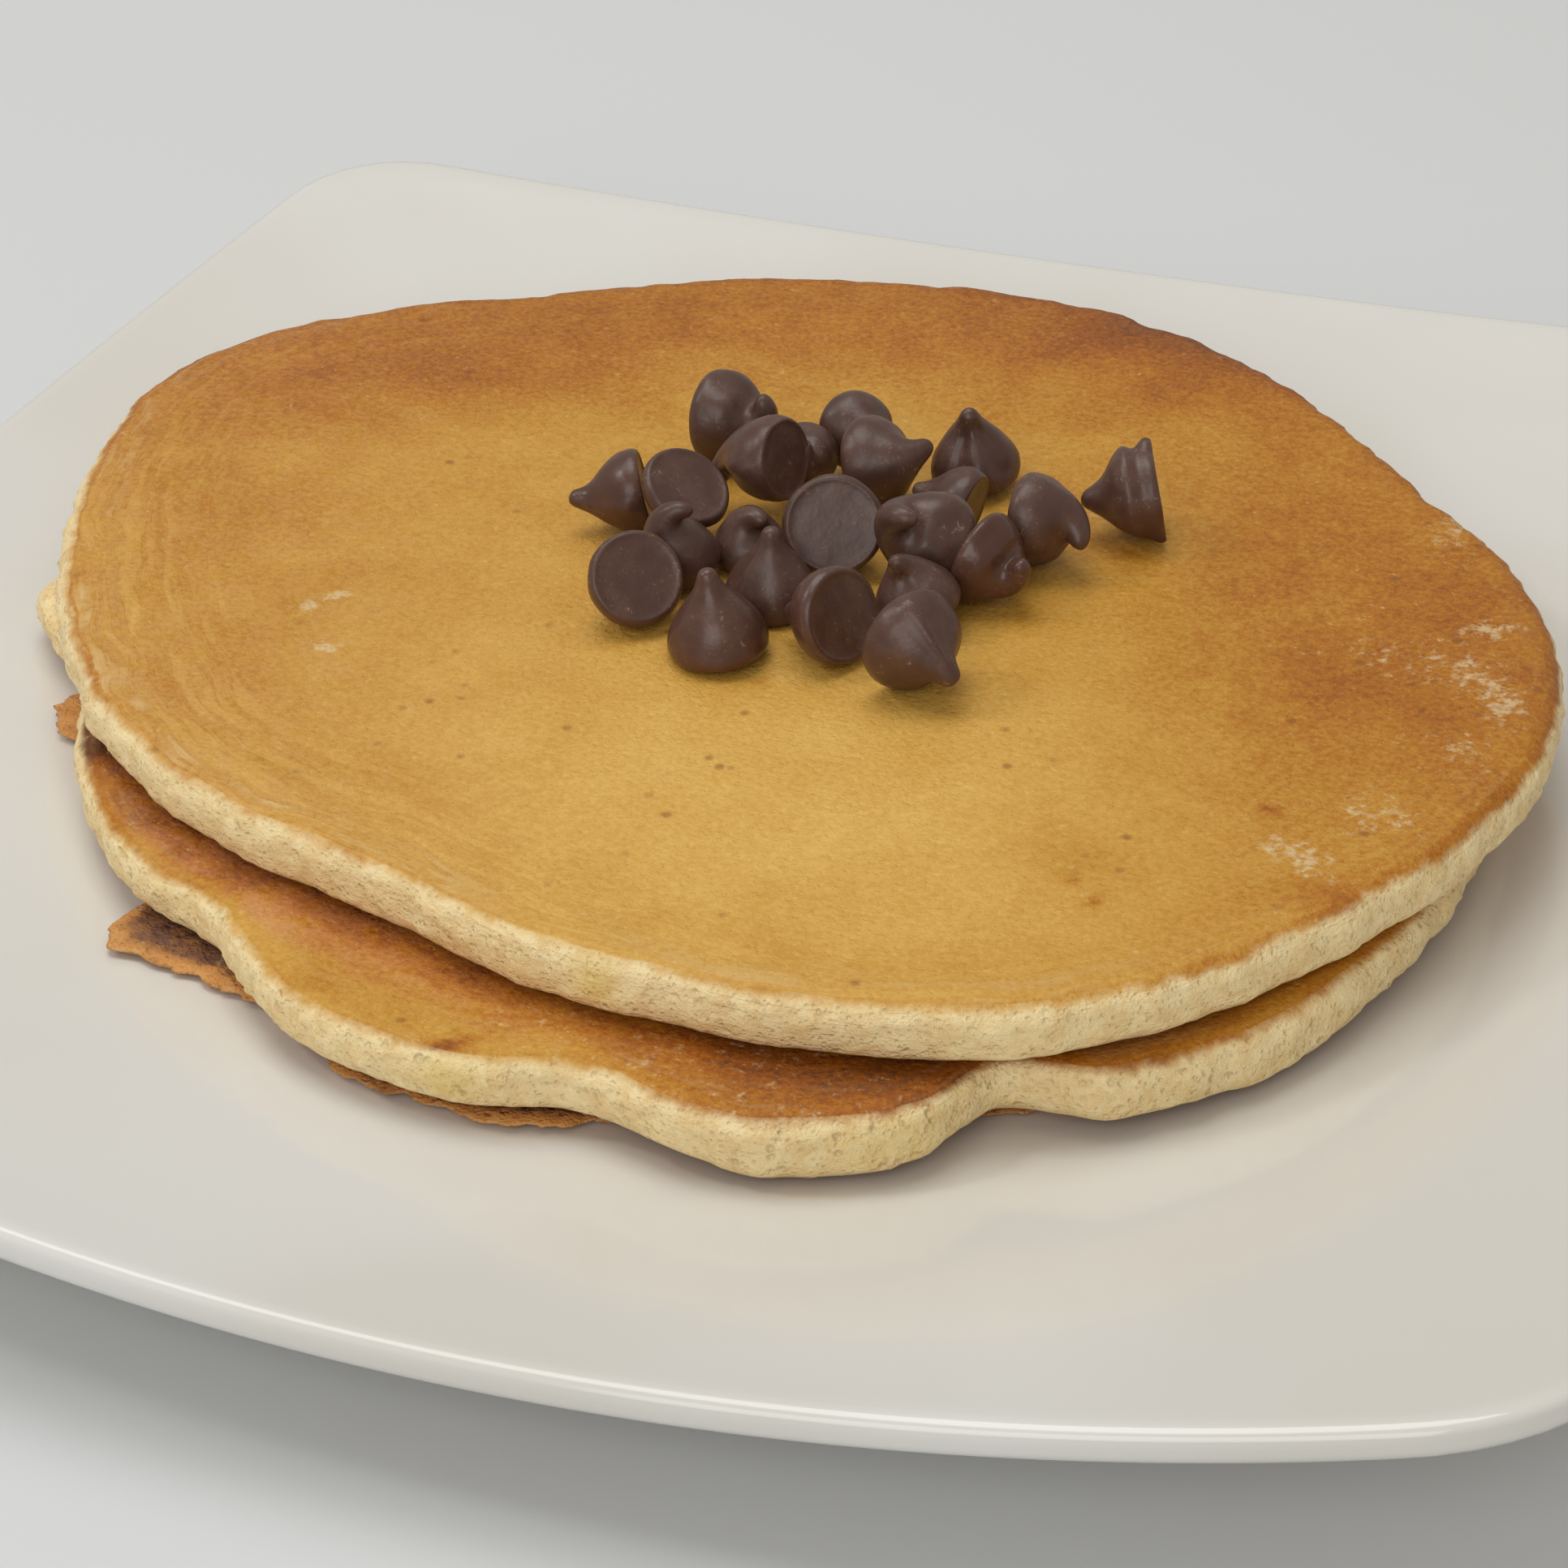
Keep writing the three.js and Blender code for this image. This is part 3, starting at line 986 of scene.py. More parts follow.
@dataclass
class Pancake:
    """One thick pancake; its kinds say how it lies and where it browned. Sizes in mm."""

    name: str
    node: str
    slot: str
    outline: Outline
    seed: float
    edge_roll: float = 4.2
    steps: int = 520
    side_rows: int = 22

    def under(self, u: float, v: float) -> float:
        """Height of its underside."""
        return STACK.top_under(math.hypot(u, v))

    def over(self, u: float, v: float) -> float:
        """Height of its face."""
        return STACK.top_over(math.hypot(u, v))

    def pale_width(self, degrees: float) -> float:
        """How far the pale side reaches onto the face; less than 0 leaves a brown shoulder."""
        return 1.0

    def finish_values(self, u: float, v: float, inside: float, degrees: float) -> dict[str, float]:
        """What a point of the face carries for the finish.

        Args:
            u: Place to the right, in the food's axes.
            v: Place to the back.
            inside: Distance in from the edge.
            degrees: Direction about the outline's middle.

        Returns:
            The values brown, rosy, ring, spots and yolk.
        """
        return {"brown": 0.4, "rosy": 0.0, "ring": 0.2, "spots": 0.0, "yolk": 0.0}

    def roughness_at(self, degrees: float) -> float:
        """How lumpy the edge is in this direction, 1 being usual."""
        return 1.0

    def section(self) -> list[tuple[float, float]]:
        """Half section in shares of the radius and of the thickness, fine at the edge.

        Returns:
            Points (share of the radius, share of the thickness) from underneath to the top.
        """
        roll = self.edge_roll / 88.0
        inner = 1.0 - roll
        points = [(inner * share, 0.0) for share in (0.0, 0.25, 0.5, 0.7, 0.84, 0.93)]
        for row in range(self.side_rows + 1):
            turn = -math.pi / 2 + math.pi * row / self.side_rows
            lean = math.copysign(abs(math.sin(turn)) ** 0.8, turn)
            points.append((inner + roll * abs(math.cos(turn)) ** 0.72, 0.5 + 0.5 * lean))
        share = inner
        step = 0.010
        while share - step > 0.04:
            share -= step
            points.append((share, 1.0))
            step = min(0.022, step * 1.04)
        points.append((0.0, 1.0))
        return points

    def lumps(self, place: Vector, thick: float, side: float, degrees: float, inside: float) -> Vector:
        """How the baked batter's lumps and pores move a point.

        Args:
            place: Where the smooth shape has the point.
            thick: Share of the thickness.
            side: 1 at the edge, 0 on the faces.
            degrees: Direction about the outline's middle.
            inside: Distance in from the edge.

        Returns:
            The move in mm.
        """
        rough = self.roughness_at(degrees)
        turn = math.radians(degrees)
        outward = math.sin(math.pi * min(1.0, max(0.0, thick)))
        wrinkle = grain(Vector((place.x, place.y, place.z * 0.7)), 1.9, self.seed + 2)
        pucker = grain(place, 0.95, self.seed + 3)
        bulge = outward * side * (0.5 * wrinkle + 0.4 * pucker) * rough
        lift = 0.0
        if thick > 0.5:
            swell = 0.16 * grain(place, 26.0, self.seed + 4) + 0.05 * grain(place, 7.0, self.seed + 5)
            lip = bell(inside - 4.0, 2.6) * 0.12 * grain(place, 5.0, self.seed + 6) * rough
            lift = (swell - 0.12) * min(1.0, (thick - 0.5) * 2) + lip
        return Vector((bulge * math.cos(turn), bulge * math.sin(turn), lift))

    def shaped(self, share: float, thick: float, degrees: float) -> tuple[Vector, dict[str, float]]:
        """Where one point of the section lies, and what it carries for the finish.

        Args:
            share: Share of the radius.
            thick: Share of the thickness.
            degrees: Direction about the outline's middle.

        Returns:
            The place in mm in the food's axes, and the point's values.
        """
        turn = math.radians(degrees)
        full = self.outline.radius(degrees)
        edge = Vector((math.cos(turn), math.sin(turn), 0.0)) * full
        side = smooth_step(0.8, 0.97, share)
        waves = 0.55 * grain(edge, 9.0, self.seed) + 0.3 * grain(edge, 3.6, self.seed + 1)
        reach = share * (full + side * self.roughness_at(degrees) * waves)
        u = self.outline.u + reach * math.cos(turn)
        v = self.outline.v + reach * math.sin(turn)
        low, high = self.under(u, v), self.over(u, v)
        place = Vector((u, v, low + thick * (high - low)))
        inside = full * (1.0 - share)
        place += self.lumps(place, thick, side, degrees, inside)
        pale = self.pale_width(degrees)
        inset = inside - pale
        if thick < 0.97:
            inset = min(inset, (thick - 0.9) * 12.0 - pale)
        if thick < 0.12:
            inset = (0.12 - thick) * 18.0 + inside * 0.4 - 1.0
        values = self.finish_values(u, v, inside, degrees)
        if thick < 0.3:
            values.update(brown=0.55, ring=0.4, spots=0.0, yolk=0.0)
        if thick < 0.5:
            values["spots"] = 0.0
        values["yolk"] *= math.sin(math.pi * min(1.0, max(0.0, thick)))
        values["inset"] = inset
        return place, values

    def build(self, finish: "BakedFinish") -> bpy.types.Object:
        """Builds and dresses the pancake.

        Args:
            finish: Its baked skin.

        Returns:
            The pancake.
        """
        mesh = spun_section(self.section(), self.steps)
        layers = {name: mesh.verts.layers.float.new(name) for name in BAKE_VALUES}
        for point in mesh.verts:
            share = math.hypot(point.co.x, point.co.y)
            degrees = math.degrees(math.atan2(point.co.y, point.co.x))
            place, values = self.shaped(share, point.co.z, degrees)
            for name, value in values.items():
                point[layers[name]] = value
            point.co = turned_food(place)
        piece = finished_piece(self.name, mesh, finish.material())
        settle_piece(piece, self.node)
        return piece


BAKE_VALUES = ("inset", "brown", "rosy", "ring", "spots", "yolk")


@dataclass(frozen=True)
class Patch:
    """A browner, paler or spotted place on a face, fading out over its spreads, in mm."""

    u: float
    v: float
    along: float
    across: float
    amount: float
    turn: float = 0.0

    def at(self, u: float, v: float) -> float:
        """Its share at a point.

        Args:
            u: Place to the right, in the food's axes.
            v: Place to the back.

        Returns:
            The amount there.
        """
        c, s = math.cos(math.radians(self.turn)), math.sin(math.radians(self.turn))
        du, dv = u - self.u, v - self.v
        along, across = du * c + dv * s, dv * c - du * s
        return self.amount * bell(along, self.along) * bell(across, self.across)


def patched(patches: Iterable[Patch], u: float, v: float) -> float:
    """All the patches' amounts at a point together."""
    return sum(patch.at(u, v) for patch in patches)


@dataclass
class TopPancake(Pancake):
    """The upper pancake: smooth and golden, palest at the front, browner to the back and right."""

    tones: tuple[Patch, ...] = (
        Patch(3, -42, 34, 24, -0.22),
        Patch(-30, -15, 30, 28, -0.06),
        Patch(-58, 62, 30, 9, 0.13, 22),
        Patch(-72, 34, 9, 9, 0.08),
        Patch(52, 72, 30, 12, 0.10, -35),
        Patch(70, -10, 18, 30, 0.16),
        Patch(27, -51, 6, 5, 0.1),
        Patch(30.3, -58.9, 0.9, 0.7, 0.34),
        Patch(28.1, -54.2, 0.8, 0.8, 0.3),
        Patch(50.7, -41.5, 0.9, 0.7, 0.34),
        Patch(-5.1, -13.9, 0.9, 0.8, 0.3),
        Patch(56, -60, 4, 3, 0.2),
        Patch(-41, -38, 2.0, 1.4, 0.12),
        Patch(-62, 0, 16, 40, 0.05),
    )
    flecks: tuple[Patch, ...] = (
        Patch(-58.6, 6.8, 1.5, 1.3, 0.8, 10),
        Patch(-55.4, 9.3, 1.3, 0.9, 0.7, 10),
        Patch(-56, -3.5, 1.5, 1.0, 0.75),
        Patch(76, -13, 3.6, 5.0, 0.5, 40),
        Patch(81, -4, 3.4, 1.9, 0.55),
        Patch(79.5, -22, 2.2, 3.4, 0.5),
        Patch(52.5, -51, 2.2, 4.6, 0.62, 30),
        Patch(62.3, -43, 4.2, 4.6, 0.44),
        Patch(73, -31, 3.0, 4.0, 0.42),
        Patch(80, 20, 3.0, 7.0, 0.42, -15),
        Patch(66, -7, 3.0, 3.0, 0.36),
    )

    def pale_width(self, degrees: float) -> float:
        """How far the pale side reaches onto the face.

        Args:
            degrees: Direction about the outline's middle.

        Returns:
            The width in mm.
        """
        front = bell(angle_apart(degrees, -110), 55)
        left = bell(angle_apart(degrees, 175), 26)
        return -1.8 + 2.1 * max(front, left)

    def roughness_at(self, degrees: float) -> float:
        """The thin back edge is the lumpiest."""
        return 1.0 + 1.1 * bell(angle_apart(degrees, 82), 42)

    def finish_values(self, u: float, v: float, inside: float, degrees: float) -> dict[str, float]:
        """What a point of the face carries for the finish.

        Args:
            u: Place to the right, in the food's axes.
            v: Place to the back.
            inside: Distance in from the edge.
            degrees: Direction about the outline's middle.

        Returns:
            The values brown, rosy, ring, spots and yolk.
        """
        brown = 0.36 + patched(self.tones, u, v)
        brown += 0.26 * smooth_step(42, 84, v) + 0.16 * smooth_step(12, 62, u)
        left = bell(angle_apart(degrees, 190), 38)
        front = bell(angle_apart(degrees, -100), 45)
        ring = 0.06 + left * (1 - smooth_step(9, 26, inside)) + 0.5 * front * (1 - smooth_step(4, 14, inside))
        back = bell(angle_apart(degrees, 80), 60)
        brown += 0.12 * back * (1 - smooth_step(0, 5, inside))
        egg = bell(angle_apart(degrees, -104), 1.1)
        return {
            "brown": brown,
            "rosy": 0.25 * smooth_step(-20, -70, u) + 0.15 * smooth_step(50, 80, v),
            "ring": ring,
            "spots": patched(self.flecks, u, v),
            "yolk": 0.55 * egg,
        }


@dataclass
class MiddlePancake(Pancake):
    """The middle pancake: lobed, streaky, darkest where the upper one covers it, from real browning and from
    painted shade under the upper one's edge.
    """

    tones: tuple[Patch, ...] = (
        Patch(8, -83, 13, 5.5, 0.28, 10),
        Patch(-12, -81, 13, 6, 0.14, 8),
        Patch(69, -49, 10, 7, -0.14),
        Patch(18, -88, 5, 3, 0.14, 10),
        Patch(-34, -74, 16, 6, -0.06, -20),
        Patch(-82, -12, 3, 3, 0.6),
        Patch(-38.3, -73.3, 2.6, 0.9, 0.5, 25),
        Patch(-61, -51, 7, 2.2, -0.12, -35),
    )
    toasted_from: float = -9.0

    def under(self, u: float, v: float) -> float:
        """Height of its underside."""
        return STACK.middle_under(u, v)

    def over(self, u: float, v: float) -> float:
        """Height of its face."""
        return STACK.level(math.hypot(u, v))

    def pale_width(self, degrees: float) -> float:
        """How far the pale side reaches onto the face.

        Args:
            degrees: Direction about the outline's middle.

        Returns:
            The width in mm.
        """
        front = bell(angle_apart(degrees, -95), 70)
        lobe = bell(angle_apart(degrees, 163), 8)
        return -0.8 + 0.9 * front + 10.0 * lobe

    def roughness_at(self, degrees: float) -> float:
        """Evenly lumpy all round."""
        return 1.2

    def finish_values(self, u: float, v: float, inside: float, degrees: float) -> dict[str, float]:
        """What a point of the face carries for the finish.

        Args:
            u: Place to the right, in the food's axes.
            v: Place to the back.
            inside: Distance in from the edge.
            degrees: Direction about the outline's middle.

        Returns:
            The values brown, rosy, ring, spots and yolk.
        """
        covered = TOP_OUTLINE.inside(u, v) + 1.6 * grain(Vector((u, v, 0.0)), 5.0, self.seed + 8)
        left = bell(angle_apart(degrees, -160), 30)
        rim = 1 - smooth_step(2.0, 4.5, inside)
        # Painted shade: a darker band near the upper pancake's edge, where its shadow falls, added on top of
        # the real browning there.
        shade = smooth_step(-6.0, 0.0, covered)
        brown = 0.42 + patched(self.tones, u, v) + (0.15 + 0.08 * left) * shade
        # More painted shade in front of the upper pancake's front edge, where its shadow falls on this face.
        brown += 0.12 * bell(angle_apart(degrees, -95), 14) * smooth_step(-9.0, -2.0, covered)
        mottled = 0.5 + 0.9 * grain(Vector((u, v, 0.0)), 4.0, self.seed + 9)
        brown += left * (1 - rim) * 0.14 * mottled
        toasted = smooth_step(self.toasted_from, self.toasted_from + 4, covered)
        return {
            "brown": brown,
            "rosy": min(1.0, left * (1 - rim) * toasted),
            "ring": 0.28 + 0.3 * bell(angle_apart(degrees, -115), 16),
            "spots": 0.25 * bell(angle_apart(degrees, -100), 20),
            "yolk": 0.5 * bell(angle_apart(degrees, -117), 1.6) + 0.25 * bell(angle_apart(degrees, -84), 3.0),
        }


@dataclass
class LacePancake:
    """The lowest pancake: thin, crisp, dark and torn at the edge. Sizes in mm."""

    name: str = "pancake_lace"
    node: str = "pancake_bottom"
    slot: str = "pancake_crisp"
    steps: int = 900
    seed: float = 40.0

    def section(self) -> list[tuple[float, float]]:
        """Half section in shares of the radius and of the thickness.

        Returns:
            Points from underneath to the top.
        """
        inner = [0.0, 0.3, 0.53, 0.7, 0.76, 0.82, 0.87, 0.91, 0.94, 0.965]
        points = [(share, 0.0) for share in inner]
        points += [(0.985, 0.06), (0.996, 0.28), (1.0, 0.5), (0.996, 0.75), (0.985, 0.95)]
        return points + [(share, 1.0) for share in reversed(inner)]

    def build(self, finish: "LaceFinish") -> bpy.types.Object:
        """Builds and dresses the crisp pancake.

        Args:
            finish: Its crisp skin.

        Returns:
            The pancake.
        """
        mesh = spun_section(self.section(), self.steps)
        inset_layer = mesh.verts.layers.float.new("inset")
        for point in mesh.verts:
            share = math.hypot(point.co.x, point.co.y)
            thick = point.co.z
            turn = math.atan2(point.co.y, point.co.x)
            full = LACE_OUTLINE.radius(math.degrees(turn))
            edge = Vector((math.cos(turn), math.sin(turn), 0.0)) * full
            torn = 1.5 * grain(edge, 5.0, self.seed) + grain(edge, 1.9, self.seed + 1)
            torn += 0.5 * grain(edge, 0.8, self.seed + 2)
            reach = share * (full + smooth_step(0.86, 1.0, share) * (torn - 0.3))
            here = Vector((reach * math.cos(turn), reach * math.sin(turn), 0.0))
            thin = 1.0 - 0.45 * smooth_step(0.88, 1.0, share)
            lift = 0.35 * smooth_step(0.86, 1.0, share) * (grain(here, 6.0, self.seed + 3) + 0.4)
            bumps = 0.14 * grain(here, 1.7, self.seed + 4) * min(1.0, thick * 2)
            under = PLATE.surface(reach) + STACK.seat + max(0.0, lift)
            here.z = under + thick * STACK.lace * thin + bumps * thin
            flap = bell(angle_apart(math.degrees(turn), 176), 9)
            point[inset_layer] = full * (1.0 - share) * (1.0 - 0.85 * flap)
            point.co = turned_food(here)
        piece = finished_piece(self.name, mesh, finish.material())
        settle_piece(piece, self.node)
        return piece


# ------------------------------------------------------------------ chocolate chips


@dataclass(frozen=True)
class Ridge:
    """A raised line or, below 0, a hollow down a chip's flank, in mm and degrees; low and high are shares."""

    at: float
    height: float = 0.5
    width: float = 9.0
    low: float = 0.05
    high: float = 0.95

    def push(self, around: float, rise: float) -> float:
        """How far out it pushes the flank.

        Args:
            around: Direction about the chip's axis.
            rise: Share of the chip's height.

        Returns:
            The push in mm.
        """
        fade = smooth_step(self.low, self.low + 0.22, rise)
        fade *= 1.0 - smooth_step(self.high - 0.25, self.high, rise)
        return self.height * fade * bell(angle_apart(around, self.at), self.width)


@dataclass(frozen=True)
class Chip:
    """One chip: how it is turned and shaped. Angles in degrees, lengths in mm.

    heading is where the tip points and lean how far the tip fell over; bend carries the solid's own
    sideways bend of the tip, hook curls the tip over towards hook_at.
    """

    number: int
    heading: float
    lean: float
    size: float = 1.0
    tall: float = 1.0
    bend: float = 0.0
    bend_at: float = 0.0
    hook: float = 0.0
    hook_at: float = 0.0
    longer: float = 1.0
    melt: float = 0.0
    ridges: tuple[Ridge, ...] = field(default=())

    @property
    def node(self) -> str:
        """The solid it stands for."""
        return f"chip_{self.number:02d}"


@dataclass
class ChipHeap:
    """The heap of chips; a chip's sizes in mm."""

    radius: float = 5.6
    height: float = 9.6
    centre: float = 0.36
    steps: int = 48
    rows: int = 44
    section: tuple[tuple[float, float], ...] = (
        (0.0, 0.022), (0.55, 0.022), (0.8, 0.016), (0.89, 0.002), (0.95, 0.02), (0.995, 0.08), (1.0, 0.14),
        (0.975, 0.23), (0.91, 0.33), (0.805, 0.43), (0.67, 0.53), (0.53, 0.62), (0.41, 0.7), (0.315, 0.78),
        (0.25, 0.86), (0.2, 0.93), (0.13, 0.98), (0.0, 1.0),
    )
    plain_section: tuple[tuple[float, float], ...] = (
        (0, 0), (0.9, 0.01), (1, 0.14), (0.95, 0.34), (0.75, 0.54), (0.46, 0.72), (0.22, 0.88), (0, 1),
    )
    plain_steps: int = 14

    def rounded_section(self) -> list[tuple[float, float]]:
        """The half section, with a smooth curve through its points.

        Returns:
            Points (share of the radius, share of the height).
        """
        marks = [Vector(mark) for mark in self.section]
        points: list[tuple[float, float]] = []
        for step in range(self.rows):
            along = step * (len(marks) - 1) / self.rows
            at = int(along)
            t = along - at
            a, b = marks[max(0, at - 1)], marks[at]
            c, d = marks[at + 1], marks[min(len(marks) - 1, at + 2)]
            square = (2 * a - 5 * b + 4 * c - d) * t * t
            cube = (3 * b - a - 3 * c + d) * t**3
            curve = 0.5 * ((2 * b) + (c - a) * t + square + cube)
            points.append((max(0.0, curve.x), curve.y))
        points[0] = (0.0, points[0][1])
        points.append(self.section[-1])
        return points

    def turning(self, chip: Chip) -> Matrix:
        """How a chip is turned in the food's axes."""
        lean = Matrix.Rotation(math.radians(chip.lean), 3, "Y")
        return Matrix.Rotation(math.radians(chip.heading), 3, "Z") @ lean

    def middle_of(self, chip: Chip) -> Vector:
        """Where the chip's own centre lies, in mm in the food's axes.

        The solid's box is compared with that of the same plain shape turned in place.

        Args:
            chip: The chip.

        Returns:
            Its centre.
        """
        turning = Matrix.Rotation(FOOD_TURN, 3, "Z") @ self.turning(chip)
        bend_at = math.radians(chip.bend_at)
        places = []
        for share, rise in self.plain_section:
            for step in range(self.plain_steps):
                turn = math.tau * step / self.plain_steps
                bend = chip.bend * rise**3
                places.append(turning @ Vector((
                    share * math.sin(turn) * self.radius * chip.size + bend * math.cos(bend_at),
                    share * math.cos(turn) * self.radius * chip.size + bend * math.sin(bend_at),
                    (rise - self.centre) * self.height * chip.tall,
                )))
        low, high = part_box(chip.node)
        solid = [(low[axis] + high[axis]) / 2 / MM for axis in range(3)]
        plain = [(min(p[axis] for p in places) + max(p[axis] for p in places)) / 2 for axis in range(3)]
        middle = Vector([there - here for there, here in zip(solid, plain)])
        return Matrix.Rotation(-FOOD_TURN, 3, "Z") @ middle

    def curled(self, chip: Chip, place: Vector, rise: float) -> Vector:
        """Curls the tip over.

        Args:
            chip: The chip.
            place: The point on the straight chip, from its base's middle.
            rise: Its share of the height.

        Returns:
            The point on the curled chip.
        """
        start = 0.42
        height = self.height * chip.tall * chip.longer
        if chip.hook == 0 or rise <= start:
            return place
        hook = math.radians(chip.hook)
        lean = Vector((math.cos(math.radians(chip.hook_at)), math.sin(math.radians(chip.hook_at)), 0.0))
        share = (rise - start) / (1.0 - start)
        aside = Vector((0.0, 0.0, 0.0))
        up = start * height
        parts = 12
        for part in range(parts):
            middle = share * (part + 0.5) / parts
            angle = hook * middle**1.6
            length = share * (1.0 - start) * height / parts
            aside += lean * math.sin(angle) * length
            up += math.cos(angle) * length
        angle = hook * share**1.6
        out = place.x * lean.x + place.y * lean.y
        across = Vector((place.x, place.y, 0.0)) - lean * out
        return across + aside + lean * out * math.cos(angle) + Vector((0.0, 0.0, up - out * math.sin(angle)))

    def build_chip(self, chip: Chip, material: bpy.types.Material) -> bpy.types.Object:
        """Builds and dresses one chip.

        Args:
            chip: Which one.
            material: The chocolate.

        Returns:
            The chip.
        """
        mesh = spun_section(self.rounded_section(), self.steps)
        melt_layer = mesh.verts.layers.float.new("melt")
        turning = self.turning(chip)
        middle = self.middle_of(chip)
        height = self.height * chip.tall * chip.longer
        seed = chip.number * 1.7
        floor = min(corner[2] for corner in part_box(chip.node)) / MM
        ceiling = CAD_BOUNDS[1][2] / MM - 0.02
        for point in mesh.verts:
            rise = point.co.z
            around = math.degrees(math.atan2(point.co.y, point.co.x))
            reach = math.hypot(point.co.x, point.co.y) * self.radius * chip.size
            share = math.hypot(point.co.x, point.co.y)
            reach += min(1.0, share * 1.6) * sum(ridge.push(around, rise) for ridge in chip.ridges)
            turn = math.radians(around)
            place = Vector((reach * math.cos(turn), reach * math.sin(turn), rise * height))
            lumps = grain(place, 4.5, seed) * 0.32 + grain(place, 1.8, seed + 1) * 0.08
            swell = 1.0 + lumps / self.radius * smooth_step(0.0, 0.2, rise)
            place.x, place.y = place.x * swell, place.y * swell
            if rise < 0.1:
                place.z += 0.06 * grain(place, 2.2, seed + 2)
            place = self.curled(chip, place, rise)
            place.z -= self.centre * self.height * chip.tall
            place = turning @ place + middle
            low = 1.0 - smooth_step(floor + 0.4, floor + 3.4, place.z)
            point[melt_layer] = min(1.0, chip.melt * (0.35 + low))
            away = Vector((place.x - middle.x, place.y - middle.y, 0.0))
            place += away * 0.14 * chip.melt * low
            place.z = min(place.z, ceiling)
            point.co = turned_food(place)
        piece = finished_piece(chip.node + "_chocolate", mesh, material)
        settle_piece(piece, chip.node)
        return piece

    def build(self, finish: "ChocolateFinish") -> list[bpy.types.Object]:
        """Builds the whole heap.

        Args:
            finish: The chocolate.

        Returns:
            The chips.
        """
        material = finish.material()
        return [self.build_chip(chip, material) for chip in CHIPS]


CHIPS = (
    Chip(1, 180, 8, 1.02, 1.08, longer=1.03, melt=0.55),
    Chip(2, -90, 4, 0.97, 1.06, longer=1.06, ridges=(Ridge(-50, 0.35, 8), Ridge(70, 0.4, 8))),
    Chip(3, 134, 108, 1.03, melt=0.4),
    Chip(
        4, -57, 98, 1.12, bend=1.5, bend_at=30, hook=50, hook_at=35,
        ridges=(Ridge(-165, 0.9, 5), Ridge(150, -0.5, 12)),
    ),
    Chip(5, 183, 22, 0.92, 0.95, bend=1, bend_at=90, hook=70, hook_at=80, ridges=(Ridge(80, -0.7, 16),)),
    Chip(6, 108, 126, 1.02),
    Chip(7, 200, 24, 0.82, 0.98, bend=3, bend_at=0, hook=150, hook_at=150, longer=1.25),
    Chip(8, -80, 10, 0.85, 0.85, hook=120, hook_at=30),
    Chip(
        9, -35, 104, 1, 0.88, bend=2, bend_at=0, hook=135, hook_at=200, melt=1.0,
        ridges=(Ridge(200, -0.8, 16),),
    ),
    Chip(10, -25, 84, 1.03, bend=2, bend_at=0, hook=110, hook_at=-50, ridges=(Ridge(-50, -0.6, 14),)),
    Chip(
        11, 180, 100, 0.98, bend=1, bend_at=0, hook=25, hook_at=180,
        ridges=(
            Ridge(180, 1.5, 42, 0.2, 1.05),
            Ridge(90, 1.1, 36, 0.2, 1.05),
            Ridge(-90, 1.1, 36, 0.2, 1.05),
            Ridge(-128, -1.0, 11, 0.1, 0.8),
            Ridge(-160, 1.5, 5, -0.2, 0.3),
            Ridge(35, 1.2, 5, -0.2, 0.25),
        ),
    ),
    Chip(12, 153, 80, 0.85, 0.85, ridges=(Ridge(200, 0.6, 7),)),
    Chip(
        13, 190, 8, 1, 0.95, bend=1.8, bend_at=90, hook=45, hook_at=85, longer=1.16,
        ridges=(Ridge(85, 0.9, 9), Ridge(52, -0.9, 11), Ridge(118, -0.8, 11)),
    ),
    Chip(14, -28, 68, 1.05, bend=1, bend_at=0, hook=80, hook_at=100),
    Chip(15, -60, 68, 0.9, 0.75),
    Chip(
        16, -29, 84, 1.08, bend=1.5, bend_at=0, hook=140, hook_at=190, longer=1.15,
        ridges=(Ridge(190, -0.5, 16),),
    ),
    Chip(
        17, -178, 102, 0.92, bend=1.2, bend_at=180, hook=30, hook_at=180, melt=0.5,
        ridges=(Ridge(90, 0.5, 9),),
    ),
    Chip(21, -90, 74, 0.76, 0.78, hook=120, hook_at=180, longer=1.3, ridges=(Ridge(180, -0.6, 18),)),
    Chip(18, 135, 146, 1.0, 0.78),
    Chip(
        19, -160, 56, 1.06, bend=2.5, bend_at=180, hook=165, hook_at=120, longer=1.35,
        ridges=(Ridge(120, -0.8, 16),),
    ),
    Chip(
        20, 146, 104, 0.95, bend=3, bend_at=60, hook=110, hook_at=40, longer=1.3,
        ridges=(Ridge(100, 0.6, 9),),
    ),
    Chip(22, 90, 120, 1.1),
)


# ------------------------------------------------------------------ studio


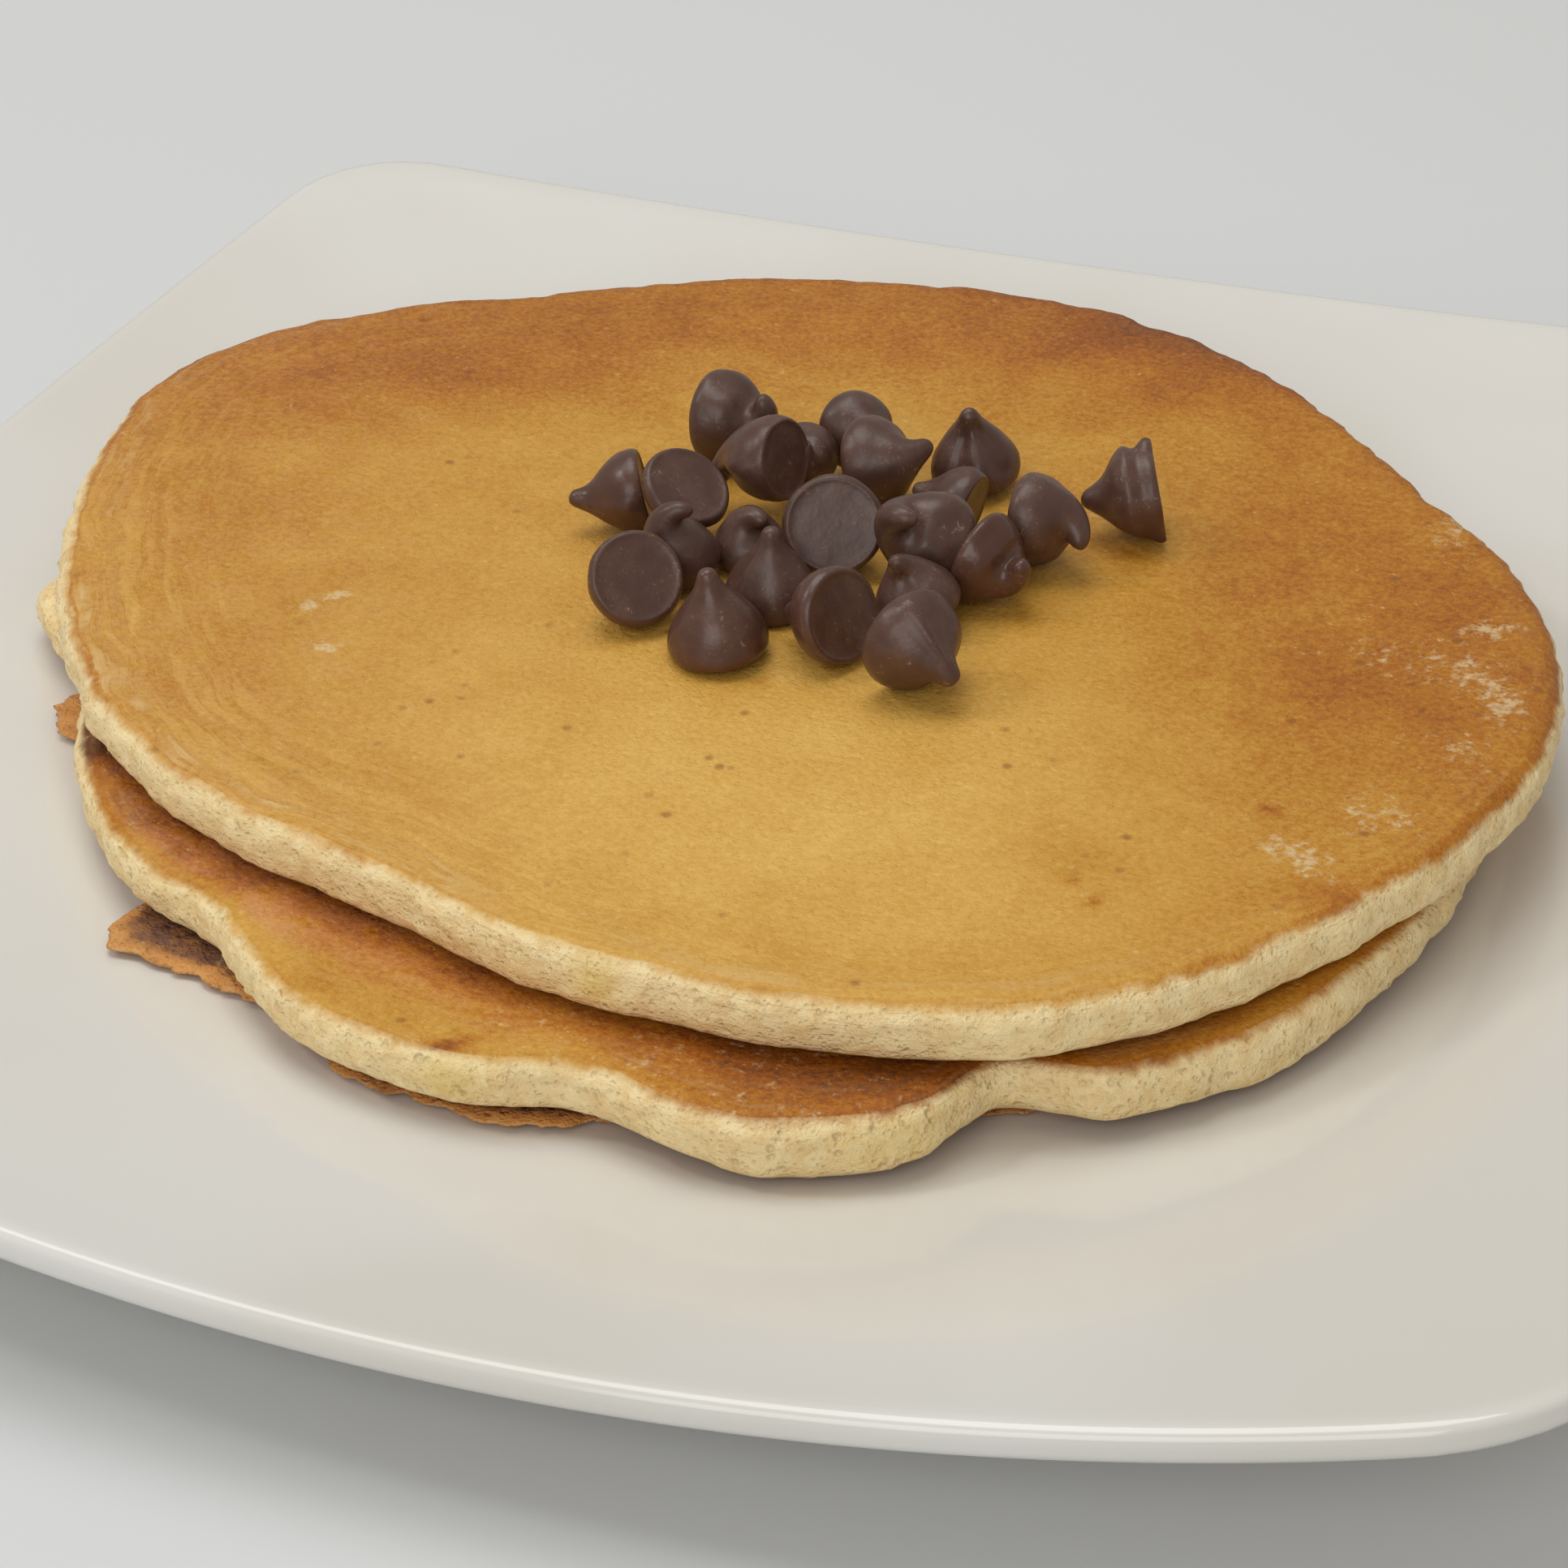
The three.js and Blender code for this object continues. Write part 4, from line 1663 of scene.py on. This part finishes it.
@dataclass
class Studio:
    """Camera, lights and table; lengths in metres, angles in degrees."""

    lens: float = 88.33
    elevation: float = 32.28
    azimuth: float = 20.18
    roll: float = -0.67
    target: tuple[float, float, float] = (-0.00438, 0.00529, 0.0)
    distance: float = 0.474
    sky: float = 0.42
    table_size: float = 12.0

    def camera(self) -> None:
        """Places the camera at its viewing angle."""
        tilt, turn, roll = (math.radians(value) for value in (self.elevation, self.azimuth, self.roll))
        back = Vector((math.sin(turn) * math.cos(tilt), -math.cos(turn) * math.cos(tilt), math.sin(tilt)))
        right = Vector((math.cos(turn), math.sin(turn), 0.0))
        up = back.cross(right)
        right, up = right * math.cos(roll) + up * math.sin(roll), up * math.cos(roll) - right * math.sin(roll)
        data = bpy.data.cameras.new("view")
        data.lens = self.lens
        data.sensor_width = 36.0
        data.clip_start = 0.01
        camera = bpy.data.objects.new("view", data)
        axes = Matrix((right, up, back)).transposed().to_4x4()
        camera.matrix_world = Matrix.Translation(Vector(self.target) + back * self.distance) @ axes
        bpy.context.scene.collection.objects.link(camera)
        bpy.context.scene.camera = camera

    def table(self) -> bpy.types.Object:
        """Lays the table, which isn't part of the model.

        Returns:
            The table.
        """
        mesh = bmesh.new()
        bmesh.ops.create_grid(mesh, x_segments=1, y_segments=1, size=self.table_size / 2)
        for point in mesh.verts:
            point.co.z -= 0.00002
        piece = finished_piece("table", mesh, TableFinish("table top", 0.45).material())
        return piece

    def lamp(
        self, name: str, place: Sequence[float], size: float, power: float, aim: Sequence[float] = (0, 0, 0)
    ) -> None:
        """Hangs one soft square lamp.

        Args:
            name: Its name.
            place: Where it hangs.
            size: Length of its side.
            power: Its power in watts.
            aim: The point it faces.
        """
        data = bpy.data.lights.new(name, "AREA")
        data.shape = "SQUARE"
        data.size = size
        data.energy = power
        lamp = bpy.data.objects.new(name, data)
        lamp.location = Vector(place)
        lamp.rotation_euler = (Vector(place) - Vector(aim)).to_track_quat("Z", "Y").to_euler()
        bpy.context.scene.collection.objects.link(lamp)

    def light(self) -> None:
        """Lights the table from above and behind, with a soft sky."""
        world = bpy.data.worlds.new("soft sky")
        world.use_nodes = True
        shade = world.node_tree.nodes["Background"]
        shade.inputs["Color"].default_value = linear(243, 241, 234)
        shade.inputs["Strength"].default_value = self.sky
        bpy.context.scene.world = world
        self.lamp("ceiling", (-0.3, 0.25, 1.5), 1.0, 9.0)
        self.lamp("left lamp", (-0.9, -0.25, 1.0), 0.2, 2.2)
        self.lamp("front fill", (0.1, -1.5, 0.95), 1.1, 8.0)

    def build(self) -> None:
        """Sets up everything round the model."""
        self.camera()
        self.table()
        self.light()
        scene = bpy.context.scene
        scene.view_settings.view_transform = "Standard"
        scene.view_settings.look = "None"


def main() -> None:
    """Builds the pieces in order."""
    logging.basicConfig(level=logging.INFO, format="%(message)s")
    Studio().build()
    SharedEffects().build()
    PLATE.build(GlazeFinish("white glaze", 0.13))
    LacePancake().build(LaceFinish("crisp lace", 0.62))
    MiddlePancake("pancake_lobed", "pancake_middle", "pancake_browned", MIDDLE_OUTLINE, 20.0).build(
        BakedFinish("baked, streaky", 0.6, rim=0.05, streaks=0.2, lines=0.05, coarse=0.9)
    )
    TopPancake("pancake_golden", "pancake_top", "pancake_golden", TOP_OUTLINE, 3.0).build(
        BakedFinish("baked, golden", 0.52, streaks=0.18, lines=0.09)
    )
    ChipHeap().build(ChocolateFinish("chocolate", 0.37))


if __name__ == "__main__":
    main()
